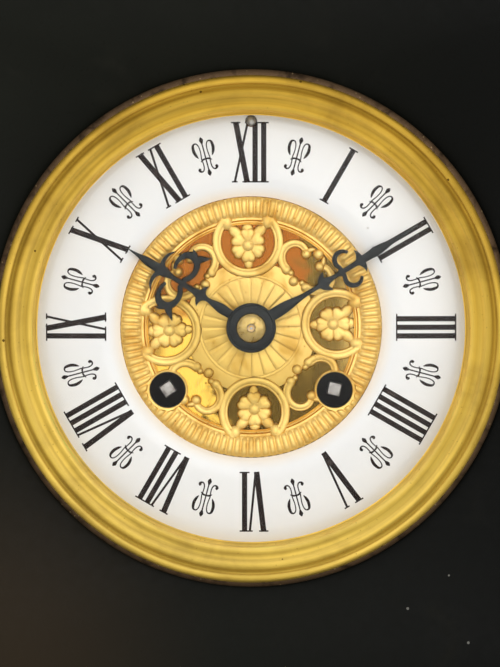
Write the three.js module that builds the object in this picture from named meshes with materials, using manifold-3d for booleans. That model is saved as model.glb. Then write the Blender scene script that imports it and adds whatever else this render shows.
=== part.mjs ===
// Mantel clock: a black slate case, an enamel dial with a pierced gilt centre, a glazed bezel,
// and a round striking movement with a pendulum. Millimetres, +Z up, the dial faces -Y.
// Every piece is drawn in the dial's frame: x to the right, y into the case from the slate's
// front face, z up from the middle of the dial. The last lines set the clock on its base.

import * as THREE from 'three';
import { mergeVertices } from 'three/addons/utils/BufferGeometryUtils.js';
import Module from 'manifold-3d';

const wasm = await Module();
wasm.setup();

// Clearances
const seatGap = 0.2;
const runningGap = 0.3;
const cementJoint = 0.2;
const cutOverrun = 1;

// Slate case
const bodyWidth = 206;
const bodyDepth = 116;
const dialAboveBodyBase = 100;
const bodyAboveDial = 92;
const frontSlabThickness = 10;
const backSlabThickness = 10;
const sideSlabThickness = 10;
const plinthHeight = 26;
const plinthSideReach = 22;
const plinthFrontReach = 18;
const plinthBackReach = 8;
const plinthRound = 3;
const baseMouldingHeight = 16;
const baseMouldingTopReach = 3;
const baseMouldingBottomReach = 13;
const corniceHeight = 14;
const corniceBottomReach = 2;
const corniceTopReach = 12;
const topSlabHeight = 12;
const topSlabReach = 15;
const topSlabRound = 2.5;
const capHeight = 18;
const capSideInset = 14;
const capEndInset = 10;
const capShoulder = 5;

// Dial mount ring, which is clamped to the slate, and the bezel hinged to it
const bezelOuterRadius = 67;
const bezelFaceWidth = 10.5;
const mountFlangeReach = 1.6;
const mountTubeInset = 6.7;
const mountFlangeThickness = 1.4;
const mountTubeWall = 2;
const mountTubeLength = 9;
const mountLedgeWidth = 2;
const mountLedgeThickness = 2;
const bezelHeight = 8.2;
const bezelLipHeight = 4.6;
const glassThickness = 1.6;
const glassGrooveDepth = 3.1;
const knuckleRadius = 1.6;
const knuckleSides = 8;
const knucklePinRadius = 0.7;
const bezelKnuckleLength = 8;
const mountKnuckleLength = 5;

// Dial
const enamelThickness = 2.2;
const dialPlateThickness = 1.2;
const giltRadius = 34.4;
const giltTurn = -2.2;
const giltThickness = 1.3;
const bandInnerRadius = 29.1;
const bandHeight = 1.1;
const giltInnerRingRadius = 27.9;
const shellRadius = 13.4;
const collarRadius = 17.5;
const shellFluteCount = 24;
const shellFluteDepth = 0.45;
const shellHeight = 1;
const cartoucheOffset = 22.7;
const cartoucheRadius = 8.3;
const cartoucheWidth = 2;
const flowerRadius = 5.1;
const flowerOffset = 21.8;
const flowerPetals = 6;
const scrollOffset = 22.6;
const scrollBearing = 10.3;
const scrollRadius = 4.5;
const scrollWidth = 1.7;
const scrollBeadRadius = 1.35;
const knobRadius = 1.6;
const windingHoleRadius = 4.75;
const windingRimWidth = 0.9;
const windingX = 22.2;
const windingZ = -16.7;
const regulatorRimInset = 3.3;
const regulatorHoleRadius = 1.6;

// Hands
const minuteHandLength = 52;
const hourHandLength = 38.2;
const handThickness = 0.8;
const hourHandBossRadius = 5.4;
const minuteHandBossRadius = 6.6;
const handGap = 0.9;
const minuteHandAngle = 58.4;
const hourHandAngle = 303.3;
const washerRadius = 3.85;
const washerHeight = 1;
const centreTipRadius = 1;
const centreTipReach = 0.5;

// Movement frame
const motionSpace = 7.2;
const plateRadius = 49;
const plateThickness = 2.2;
const plateGap = 30;
const pillarRadius = 2.2;
const pillarTenonRadius = 1.4;
const pillarOffset = 46;
const pillarAngles = [50, 160, 200, 310];
const dialFootRadius = 1.4;
const dialFootX = 42;
const dialFootZ = 44;
const arborRadius = 0.6;
const pivotRadius = 0.45;
const pivotGap = 0.25;
const shoulderGap = 0.4;
const arborSides = 5;

// Going train, from the barrel to the escape wheel
const barrelTeeth = 48;
const barrelPinionLeaves = 8;
const barrelModule = 0.85;
const drumRadius = 18;
const barrelArborRadius = 3;
const drumStart = 4;
const drumEnd = 26.4;
const barrelRimThickness = 2.5;
const barrelToothStart = 4.2;
const secondTeeth = 40;
const secondModule = 0.75;
const centreLeaves = 8;
const centreTeeth = 72;
const centreModule = 0.42;
const thirdLeaves = 6;
const thirdTeeth = 72;
const thirdModule = 0.36;
const escapeLeaves = 6;
const escapeTeeth = 36;
const escapeRadius = 10.2;
const escapeToothDepth = 1.6;
const escapeZ = 23.4;
const palletArborZ = 36;
const palletSpanTeeth = 7.5;
const palletDrop = 0.15;
const palletTipWidth = 0.3;
const wheelThickness = 1.2;
const crossingWidth = 2;
const wheelRimWidth = 2;
const wheelHubRadius = 3.2;

// Layers of the trains, measured from the front plate's inner face
const firstLayer = 1.2;
const barrelPinionEnd = 7.2;
const centreWheelLayer = 27.4;
const thirdWheelLayer = 20;
const escapeWheelLayer = 24.4;
const pinWheelLayer = 10;
const lockingWheelLayer = 15;
const warningWheelLayer = 6;
const pinionMargin = 0.6;

// Striking train
const strikeSecondTeeth = 60;
const strikeSecondModule = 0.42;
const strikeSecondBearing = -24.9;
const pinWheelLeaves = 6;
const pinWheelTeeth = 54;
const pinWheelModule = 0.4;
const pinWheelBearing = 25;
const strikePinCount = 9;
const strikePinOffset = 8.8;
const strikePinRadius = 0.5;
const strikePinLength = 2.2;
const lockingLeaves = 6;
const lockingTeeth = 36;
const lockingModule = 0.46;
const lockingBearing = 28;
const warningLeaves = 6;
const warningTeeth = 30;
const warningModule = 0.46;
const warningBearing = 70;
const flyLeaves = 6;
const flyBearing = 30;
const flyReach = 6.2;
const flyThickness = 0.8;
const flyStart = 9;
const flyEnd = 22;
const strikeDiscRadius = 11.4;
const strikeDiscSlotDepth = 1.6;
const strikeDiscThickness = 1;
const strikeDiscGap = 0.5;

// Motion work under the dial
const motionModule = 0.75;
const cannonLeaves = 8;
const minuteWheelTeeth = 24;
const hourModule = 0.8;
const minutePinionLeaves = 6;
const hourWheelTeeth = 24;
const minuteWheelBearing = 60;
const motionThickness = 1;
const hourPipeRadius = 3;
const pipeWall = 0.9;
const cannonPipeRadius = 1.8;
const centreArborRadius = 1.1;
const studRadius = 0.9;

// Winding squares, ratchets and clicks
const windingSquareWidth = 3.9;
const windingSquareRecess = 0.8;
const ratchetTeeth = 18;
const ratchetRadius = 8;
const ratchetToothDepth = 1.1;
const ratchetThickness = 1.4;
const ratchetGap = 0.6;
const clickBearing = 115;
const clickNoseBearing = 46;
const clickLength = 8;
const clickWidth = 2.4;
const clickBossRadius = 1.9;

// Back cock, regulator, suspension and pendulum
const cockGap = 4;
const cockThickness = 1.6;
const cockHalfWidth = 17;
const cockStemHalfWidth = 5;
const cockLowZ = 32.5;
const cockBarTopZ = 41;
const cockTopMargin = 3.9;
const cockFootRadius = 2.2;
const cockFootX = 14;
const cockFootZ = 37;
const regulatorRadius = 1.15;
const regulatorSquareWidth = 1.7;
const bevelRadius = 3.1;
const bevelWidth = 1.6;
const bevelTeeth = 8;
const screwRadius = 0.9;
const screwBehindCock = 3.6;
const pendulumBehindCock = 8.4;
const suspensionDepth = 4;
const suspensionThickness = 0.3;
const suspensionSlit = 0.9;
const chopsHeight = 5;
const chopsWidth = 8;
const clampHeight = 3.4;
const clampZ = 45;
const springBelowBend = 4.6;
const pendulumLength = 120;
const rodRadius = 1;
const rodHeadHeight = 4;
const rodHeadWidth = 4.4;
const bobRadius = 13;
const bobThickness = 7.5;
const crutchLength = 24;
const crutchWidth = 2.2;
const crutchForkReach = 3.6;

// Bell, hammer and locking lever
const bellRadius = 28;
const bellDepth = 18;
const bellWall = 1.2;
const bellCentreZ = 4;
const bellStart = 67;
const standFootX = 26;
const standFootZ = -26;
const standThickness = 1.8;
const standWidth = 4.4;
const standPostRadius = 1.5;
const standLayer = 63.6;
const hammerX = -44.5;
const hammerZ = -3;
const hammerHeadRadius = 2.4;
const hammerHeadLength = 7;
const hammerStemRadius = 0.8;
const hammerTailLength = 17.9;
const hammerTailWidth = 1.8;
const leverX = -44;
const leverZ = 13.4;
const leverWidth = 1.8;
const leverBossRadius = 1.7;

// Straps, rear ring and rear door
const strapGap = 1.6;
const strapThickness = 1.4;
const strapWidth = 10;
const strapTabReach = 5;
const strapTabThickness = 1.4;
const backHoleRadius = 57.6;
const rearTubeWall = 1.8;
const rearTubeDepth = 12;
const rearFlangeReach = 4.4;
const rearFlangeThickness = 1.2;
const rearLugWidth = 12;
const doorEdgeInset = 4;
const doorThickness = 1;
const doorKnobRadius = 2.6;
const doorKnobLength = 3;
const doorKnobInset = 6;


// Radii of the back that follow from the hole in the back slab
const rearTubeRadius = backHoleRadius - 2 * seatGap;
const rearFlangeRadius = backHoleRadius + rearFlangeReach;
const doorRadius = rearFlangeRadius - doorEdgeInset;
const rearHingeX = rearFlangeRadius + knuckleRadius + 3 * runningGap;
const strapOffset = plateRadius + strapGap;

// Radii of the dial's front that follow from the bezel
const bezelSightRadius = bezelOuterRadius - bezelFaceWidth;
const mountFlangeRadius = bezelOuterRadius + mountFlangeReach;
const mountTubeOuter = bezelOuterRadius - mountTubeInset;
const mountTubeInner = mountTubeOuter - mountTubeWall;
const dialHoleRadius = mountTubeOuter + runningGap;
const enamelOuterRadius = mountTubeInner - runningGap;
const regulatorZ = enamelOuterRadius - regulatorRimInset;
const cockTopZ = regulatorZ + cockTopMargin;
const enamelInnerRadius = giltRadius + 2 * seatGap;

const TAU = 2 * Math.PI;
const degrees = (angle) => (angle * Math.PI) / 180;

// Finishes
const slate = { color: 0x1f201b, roughness: 0.42, metalness: 0 };
const gilt = { color: 0xe3b95c, roughness: 0.34, metalness: 1 };
const brass = { color: 0xb98f45, roughness: 0.36, metalness: 1 };
const steel = { color: 0x8d9092, roughness: 0.3, metalness: 1 };
const bluedSteel = { color: 0x2d3032, roughness: 0.35, metalness: 0.9 };
const enamel = { color: 0xf6f5f1, roughness: 0.16, metalness: 0 };
const clearGlass = { color: 0xffffff, roughness: 0.03, metalness: 0, transparent: true, opacity: 0.2 };
const bellMetal = { color: 0xa9977c, roughness: 0.3, metalness: 1 };

const clock = new THREE.Group();

// A point at a radius and a bearing, which turns clockwise from up as the dial is read.
function polar(radius, bearing) {
  return new THREE.Vector2(radius * Math.sin(bearing), radius * Math.cos(bearing));
}

// A closed geometry as a solid that can be cut and joined.
function solidOf(geometry) {
  const bare = geometry.clone();
  for (const name of Object.keys(bare.attributes)) {
    if (name !== 'position') bare.deleteAttribute(name);
  }
  const merged = mergeVertices(bare);
  const { array } = merged.index;
  const kept = [];
  for (let i = 0; i < array.length; i += 3) {
    const [a, b, c] = [array[i], array[i + 1], array[i + 2]];
    if (a !== b && b !== c && c !== a) kept.push(a, b, c);
  }
  return new wasm.Manifold(new wasm.Mesh({
    numProp: 3,
    vertProperties: new Float32Array(merged.attributes.position.array),
    triVerts: new Uint32Array(kept),
  }));
}

function addPiece(name, solid, finish, x = 0, z = 0) {
  const { vertProperties, triVerts } = solid.getMesh();
  const geometry = new THREE.BufferGeometry();
  geometry.setAttribute('position', new THREE.BufferAttribute(vertProperties, 3));
  geometry.setIndex(new THREE.BufferAttribute(triVerts, 1));
  const material = new THREE.MeshStandardMaterial({ ...finish, flatShading: true });
  const piece = new THREE.Mesh(geometry, material);
  piece.name = name;
  piece.position.set(x, 0, z);
  clock.add(piece);
}

function joined(...solids) {
  return solids.reduce((whole, next) => whole.add(next));
}

// A flat outline in the dial's plane, given thickness between two depths.
function plate(shape, front, back) {
  const geometry = new THREE.ExtrudeGeometry(shape, { depth: back - front, bevelEnabled: false });
  geometry.rotateX(Math.PI / 2);
  geometry.translate(0, back, 0);
  return solidOf(geometry);
}

function outlineOf(points) {
  return new THREE.Shape(points);
}

function ringPoints(radius, sides, x = 0, z = 0, turn = 0) {
  const points = [];
  for (let i = 0; i < sides; i += 1) {
    const point = polar(radius, turn + (i * TAU) / sides);
    points.push(new THREE.Vector2(x + point.x, z + point.y));
  }
  return points;
}

// A hole whose flats, not its corners, lie at the radius, so that a round piece passes.
function holePath(radius, sides, x = 0, z = 0) {
  return new THREE.Path(ringPoints(radius / Math.cos(Math.PI / sides), sides, x, z).reverse());
}

function discShape(radius, sides, holes = []) {
  const shape = outlineOf(ringPoints(radius, sides));
  shape.holes.push(...holes);
  return shape;
}

// A profile of [radius, depth] points turned about the dial's axis. It closes on itself, or
// runs from the axis to the axis.
function turned(profile, sides) {
  let area = 0;
  profile.forEach(([radius, depth], i) => {
    const [nextRadius, nextDepth] = profile[(i + 1) % profile.length];
    area += radius * nextDepth - nextRadius * depth;
  });
  const points = area > 0 ? [...profile] : [...profile].reverse();
  points.push(points[0]);
  const vectors = points.map(([radius, depth]) => new THREE.Vector2(radius, depth));
  return solidOf(new THREE.LatheGeometry(vectors, sides));
}

function rod(radius, front, back, sides, x = 0, z = 0) {
  const geometry = new THREE.CylinderGeometry(radius, radius, back - front, sides);
  geometry.translate(x, (front + back) / 2, z);
  return solidOf(geometry);
}

// A rod that stands along z.
function post(radius, low, high, sides, x, y) {
  const geometry = new THREE.CylinderGeometry(radius, radius, high - low, sides);
  geometry.rotateX(Math.PI / 2);
  geometry.translate(x, y, (low + high) / 2);
  return solidOf(geometry);
}

function block([x0, x1], [y0, y1], [z0, z1]) {
  const geometry = new THREE.BoxGeometry(x1 - x0, y1 - y0, z1 - z0);
  geometry.translate((x0 + x1) / 2, (y0 + y1) / 2, (z0 + z1) / 2);
  return solidOf(geometry);
}

// A line of points with a half width at each, made an outline.
function band(points, halfWidths) {
  const left = [];
  const right = [];
  points.forEach((point, i) => {
    const before = points[Math.max(i - 1, 0)];
    const after = points[Math.min(i + 1, points.length - 1)];
    const along = after.clone().sub(before).normalize();
    const side = new THREE.Vector2(along.y, -along.x).multiplyScalar(halfWidths[i]);
    left.push(point.clone().add(side));
    right.push(point.clone().sub(side));
  });
  return outlineOf([...left, ...right.reverse()]);
}

function arcPoints(centre, radius, from, to, steps) {
  const points = [];
  for (let i = 0; i <= steps; i += 1) {
    points.push(polar(radius, from + ((to - from) * i) / steps).add(centre));
  }
  return points;
}

// Rows of points round the axis, each [radius, depth, wave, steps], closed on itself. A row may
// have half as many points as its neighbour. The wave lowers every second point.
function wavedRing(rows) {
  const positions = [];
  const starts = [];
  for (const { radius, depth, wave = 0, steps } of rows) {
    starts.push(positions.length / 3);
    for (let i = 0; i < steps; i += 1) {
      const point = polar(radius, (i * TAU) / steps);
      positions.push(point.x, depth + (i % 2) * wave, point.y);
    }
  }
  const index = [];
  rows.forEach((row, r) => {
    const next = (r + 1) % rows.length;
    const fine = row.steps >= rows[next].steps;
    const [many, few] = fine ? [r, next] : [next, r];
    const ratio = rows[many].steps / rows[few].steps;
    const put = (a, b, c) => index.push(...(fine ? [a, c, b] : [a, b, c]));
    for (let i = 0; i < rows[few].steps; i += 1) {
      const low = starts[few] + i;
      const high = starts[few] + ((i + 1) % rows[few].steps);
      for (let j = 0; j < ratio; j += 1) {
        const at = i * ratio + j;
        const a = starts[many] + at;
        const b = starts[many] + ((at + 1) % rows[many].steps);
        put(a, b, j * 2 < ratio ? low : high);
        if (j * 2 < ratio && (j + 1) * 2 >= ratio) put(b, high, low);
      }
    }
  });
  const geometry = new THREE.BufferGeometry();
  geometry.setAttribute('position', new THREE.Float32BufferAttribute(positions, 3));
  geometry.setIndex(index);
  return solidOf(geometry);
}

// Slate case. Rectangles at rising heights, joined into one block with a moulded edge.
function mouldedBlock(rings) {
  const positions = [];
  for (const { x, front, back, z } of rings) {
    positions.push(-x, front, z, x, front, z, x, back, z, -x, back, z);
  }
  const index = [];
  const last = 4 * (rings.length - 1);
  index.push(0, 2, 1, 0, 3, 2, last, last + 1, last + 2, last, last + 2, last + 3);
  for (let r = 0; r < last; r += 4) {
    for (let i = 0; i < 4; i += 1) {
      const j = (i + 1) % 4;
      index.push(r + i, r + j, r + 4 + j, r + i, r + 4 + j, r + 4 + i);
    }
  }
  const geometry = new THREE.BufferGeometry();
  geometry.setAttribute('position', new THREE.Float32BufferAttribute(positions, 3));
  geometry.setIndex(index);
  return solidOf(geometry);
}

function caseRing(sideReach, frontReach, backReach, z) {
  return { x: bodyWidth / 2 + sideReach, front: -frontReach, back: bodyDepth + backReach, z };
}

const bodyBaseZ = -dialAboveBodyBase;
const bodyTopZ = bodyAboveDial;
const baseMouldingZ = bodyBaseZ - cementJoint - baseMouldingHeight;
const plinthZ = baseMouldingZ - cementJoint - plinthHeight;
const corniceZ = bodyTopZ + cementJoint;
const topSlabZ = corniceZ + corniceHeight + cementJoint;
const capZ = topSlabZ + topSlabHeight + cementJoint;

// Edge shapes as shares: how far up the edge, and how far along its inward step.
const quarterRoundShares = [[0, 0], [0.38, 0.08], [0.71, 0.29], [0.92, 0.62], [1, 1]];
const hollowShares = [[0, 0], [0.12, 0], [0.2, 0.3], [0.38, 0.62], [0.64, 0.88], [0.86, 1], [1, 1]];

function edgeRings(shares, z, height, reachLow, reachHigh) {
  return shares.map(([up, along]) => {
    const reach = reachLow.map((value, i) => value + (reachHigh[i] - value) * along);
    return caseRing(...reach, z + height * up);
  });
}

function inset(reach, by) {
  return reach.map((value) => value - by);
}

const plinthReach = [plinthSideReach, plinthFrontReach, plinthBackReach];
const shortBack = (reach) => [reach, reach, Math.min(reach, plinthBackReach)];

addPiece('plinth', mouldedBlock([
  caseRing(...plinthReach, plinthZ),
  ...edgeRings(quarterRoundShares, plinthZ + plinthHeight - plinthRound, plinthRound,
    plinthReach, inset(plinthReach, plinthRound)),
]), slate);

addPiece('base_moulding', mouldedBlock(edgeRings(hollowShares, baseMouldingZ, baseMouldingHeight,
  shortBack(baseMouldingBottomReach).map((reach, i) => Math.min(reach, plinthReach[i] - plinthRound)),
  shortBack(baseMouldingTopReach))), slate);

const sideSpan = [frontSlabThickness + cementJoint, bodyDepth - backSlabThickness - cementJoint];
const bodySpan = [bodyBaseZ, bodyTopZ];

function slabShape(holeRadius, sides) {
  const shape = outlineOf([
    new THREE.Vector2(-bodyWidth / 2, bodyBaseZ),
    new THREE.Vector2(bodyWidth / 2, bodyBaseZ),
    new THREE.Vector2(bodyWidth / 2, bodyTopZ),
    new THREE.Vector2(-bodyWidth / 2, bodyTopZ),
  ]);
  shape.holes.push(holePath(holeRadius, sides));
  return shape;
}

const caseHoleSides = 28;
addPiece('front_slab', plate(slabShape(dialHoleRadius, caseHoleSides), 0, frontSlabThickness), slate);
addPiece('back_slab',
  plate(slabShape(backHoleRadius, caseHoleSides), bodyDepth - backSlabThickness, bodyDepth), slate);
for (const [side, name] of [[-1, 'left_side_slab'], [1, 'right_side_slab']]) {
  const edges = [side * bodyWidth / 2, side * (bodyWidth / 2 - sideSlabThickness)];
  addPiece(name, block(edges.sort((a, b) => a - b), sideSpan, bodySpan), slate);
}

addPiece('cornice_moulding', mouldedBlock(edgeRings(
  hollowShares.map(([up, along]) => [1 - up, 1 - along]).reverse(),
  corniceZ, corniceHeight, shortBack(corniceBottomReach), shortBack(corniceTopReach),
)), slate);

const topReach = shortBack(topSlabReach);
addPiece('top_slab', mouldedBlock([
  caseRing(...inset(topReach, topSlabRound), topSlabZ),
  caseRing(...topReach, topSlabZ + topSlabRound),
  ...edgeRings(quarterRoundShares, topSlabZ + topSlabHeight - topSlabRound, topSlabRound,
    topReach, inset(topReach, topSlabRound)),
]), slate);

const capReach = [-capSideInset, -capEndInset, -capEndInset];
addPiece('cap_block', mouldedBlock([
  caseRing(...capReach, capZ),
  caseRing(...capReach, capZ + capHeight - capShoulder),
  caseRing(...inset(capReach, capShoulder), capZ + capHeight),
]), slate);

// Depths of the dial's layers
const flangeBack = -seatGap;
const flangeFront = flangeBack - mountFlangeThickness;
const bezelBack = flangeFront - runningGap;
const ledgeBack = mountTubeLength;
const ledgeFront = ledgeBack - mountLedgeThickness;
const dialPlateBack = ledgeFront - seatGap;
const dialPlateFront = dialPlateBack - dialPlateThickness;
const dialBack = dialPlateFront - seatGap;
const frontPlateFront = dialPlateBack + motionSpace;
const frontPlateBack = frontPlateFront + plateThickness;
const backPlateFront = frontPlateBack + plateGap;
const backPlateBack = backPlateFront + plateThickness;

// Mount ring with its inner ledge, hinge knuckles and the two ears that the straps pull on
const ringSides = 32;
const earInner = strapOffset;
const earWidth = strapWidth + 2 * seatGap;
const hingeX = mountFlangeRadius + knuckleRadius + 2 * seatGap;
const hingeY = flangeFront - runningGap;

function knuckle(low, high, tabBackY, tabFrontY, tabX, sign = 1) {
  const x = sign * hingeX;
  const barrel = post(knuckleRadius, low, high, knuckleSides, x, hingeY);
  const tab = block([Math.min(x, tabX), Math.max(x, tabX)], [tabFrontY, tabBackY], [low, high]);
  return { barrel, tab };
}

const pinCutter = (x, y, reach) => post(knucklePinRadius + seatGap, -reach, reach, 6, x, y);
const knuckleReach = bezelKnuckleLength / 2 + runningGap + mountKnuckleLength;

let mountRing = turned([
  [mountFlangeRadius, flangeFront],
  [mountFlangeRadius, flangeBack],
  [mountTubeOuter, flangeBack],
  [mountTubeOuter, ledgeBack],
  [mountTubeInner - mountLedgeWidth, ledgeBack],
  [mountTubeInner - mountLedgeWidth, ledgeFront],
  [mountTubeInner, ledgeFront],
  [mountTubeInner, flangeFront],
], ringSides);
for (const side of [-1, 1]) {
  const reach = [side * earInner, side * (mountTubeInner - mountLedgeWidth / 2)];
  mountRing = mountRing.add(block(reach.sort((a, b) => a - b), [ledgeFront, ledgeBack],
    [-earWidth / 2, earWidth / 2]));
  const low = side > 0 ? bezelKnuckleLength / 2 + runningGap : -knuckleReach;
  const { barrel, tab } = knuckle(low, low + mountKnuckleLength, flangeBack, flangeFront,
    mountFlangeRadius - knuckleRadius);
  mountRing = mountRing.add(joined(barrel, tab));
}
mountRing = mountRing.subtract(pinCutter(hingeX, hingeY, knuckleReach + cutOverrun));
addPiece('dial_mount_ring', mountRing, brass);

// Bezel: a gilt ring with two swelling mouldings, a deep groove and an outer bead, and a groove
// inside that holds the glass. Each share pair is along the face from the sight edge to the rim,
// and up from the back.
const bezelFaceShares = [
  [0, 0.56], [0.12, 0.76], [0.33, 0.66], [0.46, 0.74], [0.58, 1], [0.68, 0.92],
  [0.73, 0.7], [0.8, 0.72], [0.9, 0.94], [1, 0.7], [1, 0],
];
const bezelSpan = bezelOuterRadius - bezelSightRadius;
const glassFront = bezelBack - bezelLipHeight * 0.7;
const glassBack = glassFront + glassThickness;
const grooveRadius = bezelSightRadius + glassGrooveDepth;
const bezelBackRadius = bezelSightRadius + glassGrooveDepth / 3;
const bezelSides = 36;
let bezelRing = turned([
  ...bezelFaceShares.map(([along, up]) => [bezelSightRadius + bezelSpan * along,
    bezelBack - bezelHeight * up]),
  [bezelBackRadius, bezelBack],
  [bezelBackRadius, glassBack + seatGap],
  [grooveRadius, glassBack + seatGap],
  [grooveRadius, glassFront - seatGap],
  [bezelSightRadius, glassFront - seatGap],
], bezelSides);

const bezelKnuckle = knuckle(-bezelKnuckleLength / 2, bezelKnuckleLength / 2, bezelBack,
  bezelBack - knuckleRadius, bezelOuterRadius - knuckleRadius);
bezelRing = joined(bezelRing, bezelKnuckle.barrel, bezelKnuckle.tab)
  .subtract(pinCutter(hingeX, hingeY, knuckleReach + cutOverrun));
addPiece('bezel_ring', bezelRing, gilt);
addPiece('bezel_glass', rod(grooveRadius - seatGap, glassFront, glassBack, bezelSides), clearGlass);
addPiece('bezel_hinge_pin',
  post(knucklePinRadius, -knuckleReach, knuckleReach, 6, hingeX, hingeY), brass);

// Enamel chapter ring, slightly dished, with the regulator's hole under the twelve
const enamelShares = [[0, 0.78], [0.22, 1], [0.62, 0.84], [1, 0.5]];
const enamelSpan = enamelOuterRadius - enamelInnerRadius;
const enamelRing = turned([
  ...enamelShares.map(([along, up]) => [enamelInnerRadius + enamelSpan * along,
    dialBack - enamelThickness * up]),
  [enamelOuterRadius, dialBack],
  [enamelInnerRadius, dialBack],
], ringSides).subtract(rod(regulatorHoleRadius, dialBack - enamelThickness - cutOverrun,
  dialBack + cutOverrun, 12, 0, regulatorZ));
addPiece('enamel_chapter_ring', enamelRing, enamel);

// Brass dial plate with its three feet
const hourPipeHole = hourPipeRadius + runningGap;
const windingPlaces = [[windingX, windingZ], [-windingX, windingZ]];
const dialFeet = [[dialFootX, 0], [-dialFootX, 0], [0, -dialFootZ]];
const dialPlateShape = discShape(enamelOuterRadius - seatGap, ringSides, [
  holePath(hourPipeHole, 12),
  holePath(regulatorRadius + runningGap, 8, 0, regulatorZ),
  ...windingPlaces.map(([x, z]) => holePath(windingHoleRadius, 10, x, z)),
]);
const dialPlate = joined(plate(dialPlateShape, dialPlateFront, dialPlateBack),
  ...dialFeet.map(([x, z]) => rod(dialFootRadius, dialPlateBack - dialPlateThickness / 2,
    frontPlateBack, 6, x, z)));
addPiece('dial_back_plate', dialPlate, brass);

// Gilt centre: a rounded outer band, a fluted shell in the middle, and between them four open
// horseshoe frames that hold flowers, with scrolls, beads and a knob on each diagonal.
const giltFloor = dialBack;
const giltFace = giltFloor - giltThickness;
const shellInnerRadius = hourPipeHole + seatGap;
const bandCrestRadius = (giltRadius + bandInnerRadius) / 2;

const outerBand = turned([
  [giltRadius, giltFace],
  [bandCrestRadius, giltFace - bandHeight],
  [bandInnerRadius, giltFace - bandHeight / 4],
  [giltInnerRingRadius, giltFace - bandHeight / 4],
  [giltInnerRingRadius, giltFloor],
  [giltRadius, giltFloor],
], ringSides);

const shell = wavedRing([
  { radius: shellRadius, depth: giltFace - shellHeight / 3, steps: shellFluteCount },
  { radius: shellRadius * 0.55, depth: giltFace - shellHeight, wave: shellFluteDepth,
    steps: shellFluteCount },
  { radius: shellInnerRadius, depth: giltFace - shellHeight / 2, steps: shellFluteCount / 2 },
  { radius: shellInnerRadius, depth: giltFloor, steps: shellFluteCount / 2 },
  { radius: shellRadius, depth: giltFloor, steps: shellFluteCount },
]);

function turnedShape(points, turn) {
  const cos = Math.cos(turn);
  const sin = Math.sin(turn);
  return outlineOf(points.map(({ x, y }) => new THREE.Vector2(x * cos + y * sin, y * cos - x * sin)));
}

function evenWidths(count, halfWidth) {
  return new Array(count).fill(halfWidth);
}

// One quarter's ornament, with its frame upright and its scrolls to the right of it.
function giltOrnament(turn) {
  const pieces = [];
  const bead = (radius, sides, offset, bearing) => {
    const at = polar(offset, degrees(bearing));
    pieces.push(outlineOf(ringPoints(radius, sides, at.x, at.y)));
  };
  const frameCentre = new THREE.Vector2(0, cartoucheOffset);
  const framePoints = arcPoints(frameCentre, cartoucheRadius, degrees(42), degrees(318), 10);
  pieces.push(band(framePoints, evenWidths(framePoints.length, cartoucheWidth / 2)));

  // The flower: each petal has a blunt end between two notches, and one petal joins the frame
  const petals = [];
  const petalPitch = TAU / flowerPetals;
  for (let i = 0; i < flowerPetals; i += 1) {
    for (const [turned, reach] of [[-0.5, 0.72], [-0.22, 1], [0.22, 1]]) {
      petals.push(polar(flowerRadius * reach, (i + turned) * petalPitch)
        .add(new THREE.Vector2(0, flowerOffset)));
    }
  }
  pieces.push(outlineOf(petals));
  const stemHalf = cartoucheWidth / 2;
  pieces.push(outlineOf([
    new THREE.Vector2(-stemHalf, flowerOffset - flowerRadius / 2),
    new THREE.Vector2(-stemHalf, cartoucheOffset - cartoucheRadius),
    new THREE.Vector2(stemHalf, cartoucheOffset - cartoucheRadius),
    new THREE.Vector2(stemHalf, flowerOffset - flowerRadius / 2),
  ]));

  // Two scrolls that mirror each other across the diagonal, each a shrinking arc
  for (const side of [-1, 1]) {
    const scrollCentre = polar(scrollOffset, degrees(45 + side * scrollBearing));
    const points = [];
    for (let i = 0; i <= 6; i += 1) {
      const radius = scrollRadius * (1 - (0.42 * i) / 6);
      const bearing = 45 - side * (173 + (219 * i) / 6);
      points.push(polar(radius, degrees(bearing)).add(scrollCentre));
    }
    pieces.push(band(points, evenWidths(points.length, scrollWidth / 2)));
    const end = points[points.length - 1];
    pieces.push(outlineOf(ringPoints(scrollBeadRadius, 6, end.x, end.y)));
    bead(scrollBeadRadius, 6, collarRadius, 45 + side * scrollBearing * 1.1);
  }
  bead(knobRadius, 8, giltInnerRingRadius - knobRadius * 0.9, 45);
  bead(knobRadius, 6, collarRadius - knobRadius / 2, 45);
  return pieces.map((shape) => turnedShape(shape.getPoints(1), turn));
}

// The collar round the shell is open inside the four frames
const quarterTurns = [0, 1, 2, 3].map((quarter) => (quarter * TAU) / 4);
const giltFrameTurns = quarterTurns.map((turn) => turn + degrees(giltTurn));
let collar = plate(discShape(collarRadius, ringSides, [holePath(shellRadius - seatGap, 24)]),
  giltFace, giltFloor);
for (const turn of giltFrameTurns) {
  const at = polar(cartoucheOffset, turn);
  collar = collar.subtract(rod(cartoucheRadius, giltFace - cutOverrun, giltFloor + cutOverrun, 16,
    at.x, at.y));
}
let giltCentre = outerBand;
for (const turn of giltFrameTurns) {
  for (const shape of giltOrnament(turn)) {
    giltCentre = giltCentre.add(plate(shape, giltFace, giltFloor));
  }
}
giltCentre = joined(giltCentre, collar, shell);
for (const [x, z] of windingPlaces) {
  giltCentre = giltCentre.add(rod(windingHoleRadius + windingRimWidth, giltFace, giltFloor, 10, x, z));
  giltCentre = giltCentre.subtract(rod(windingHoleRadius, giltFace - giltThickness - bandHeight,
    giltFloor + cutOverrun, 10, x, z));
}
addPiece('gilt_dial_centre', giltCentre, gilt);

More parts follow.
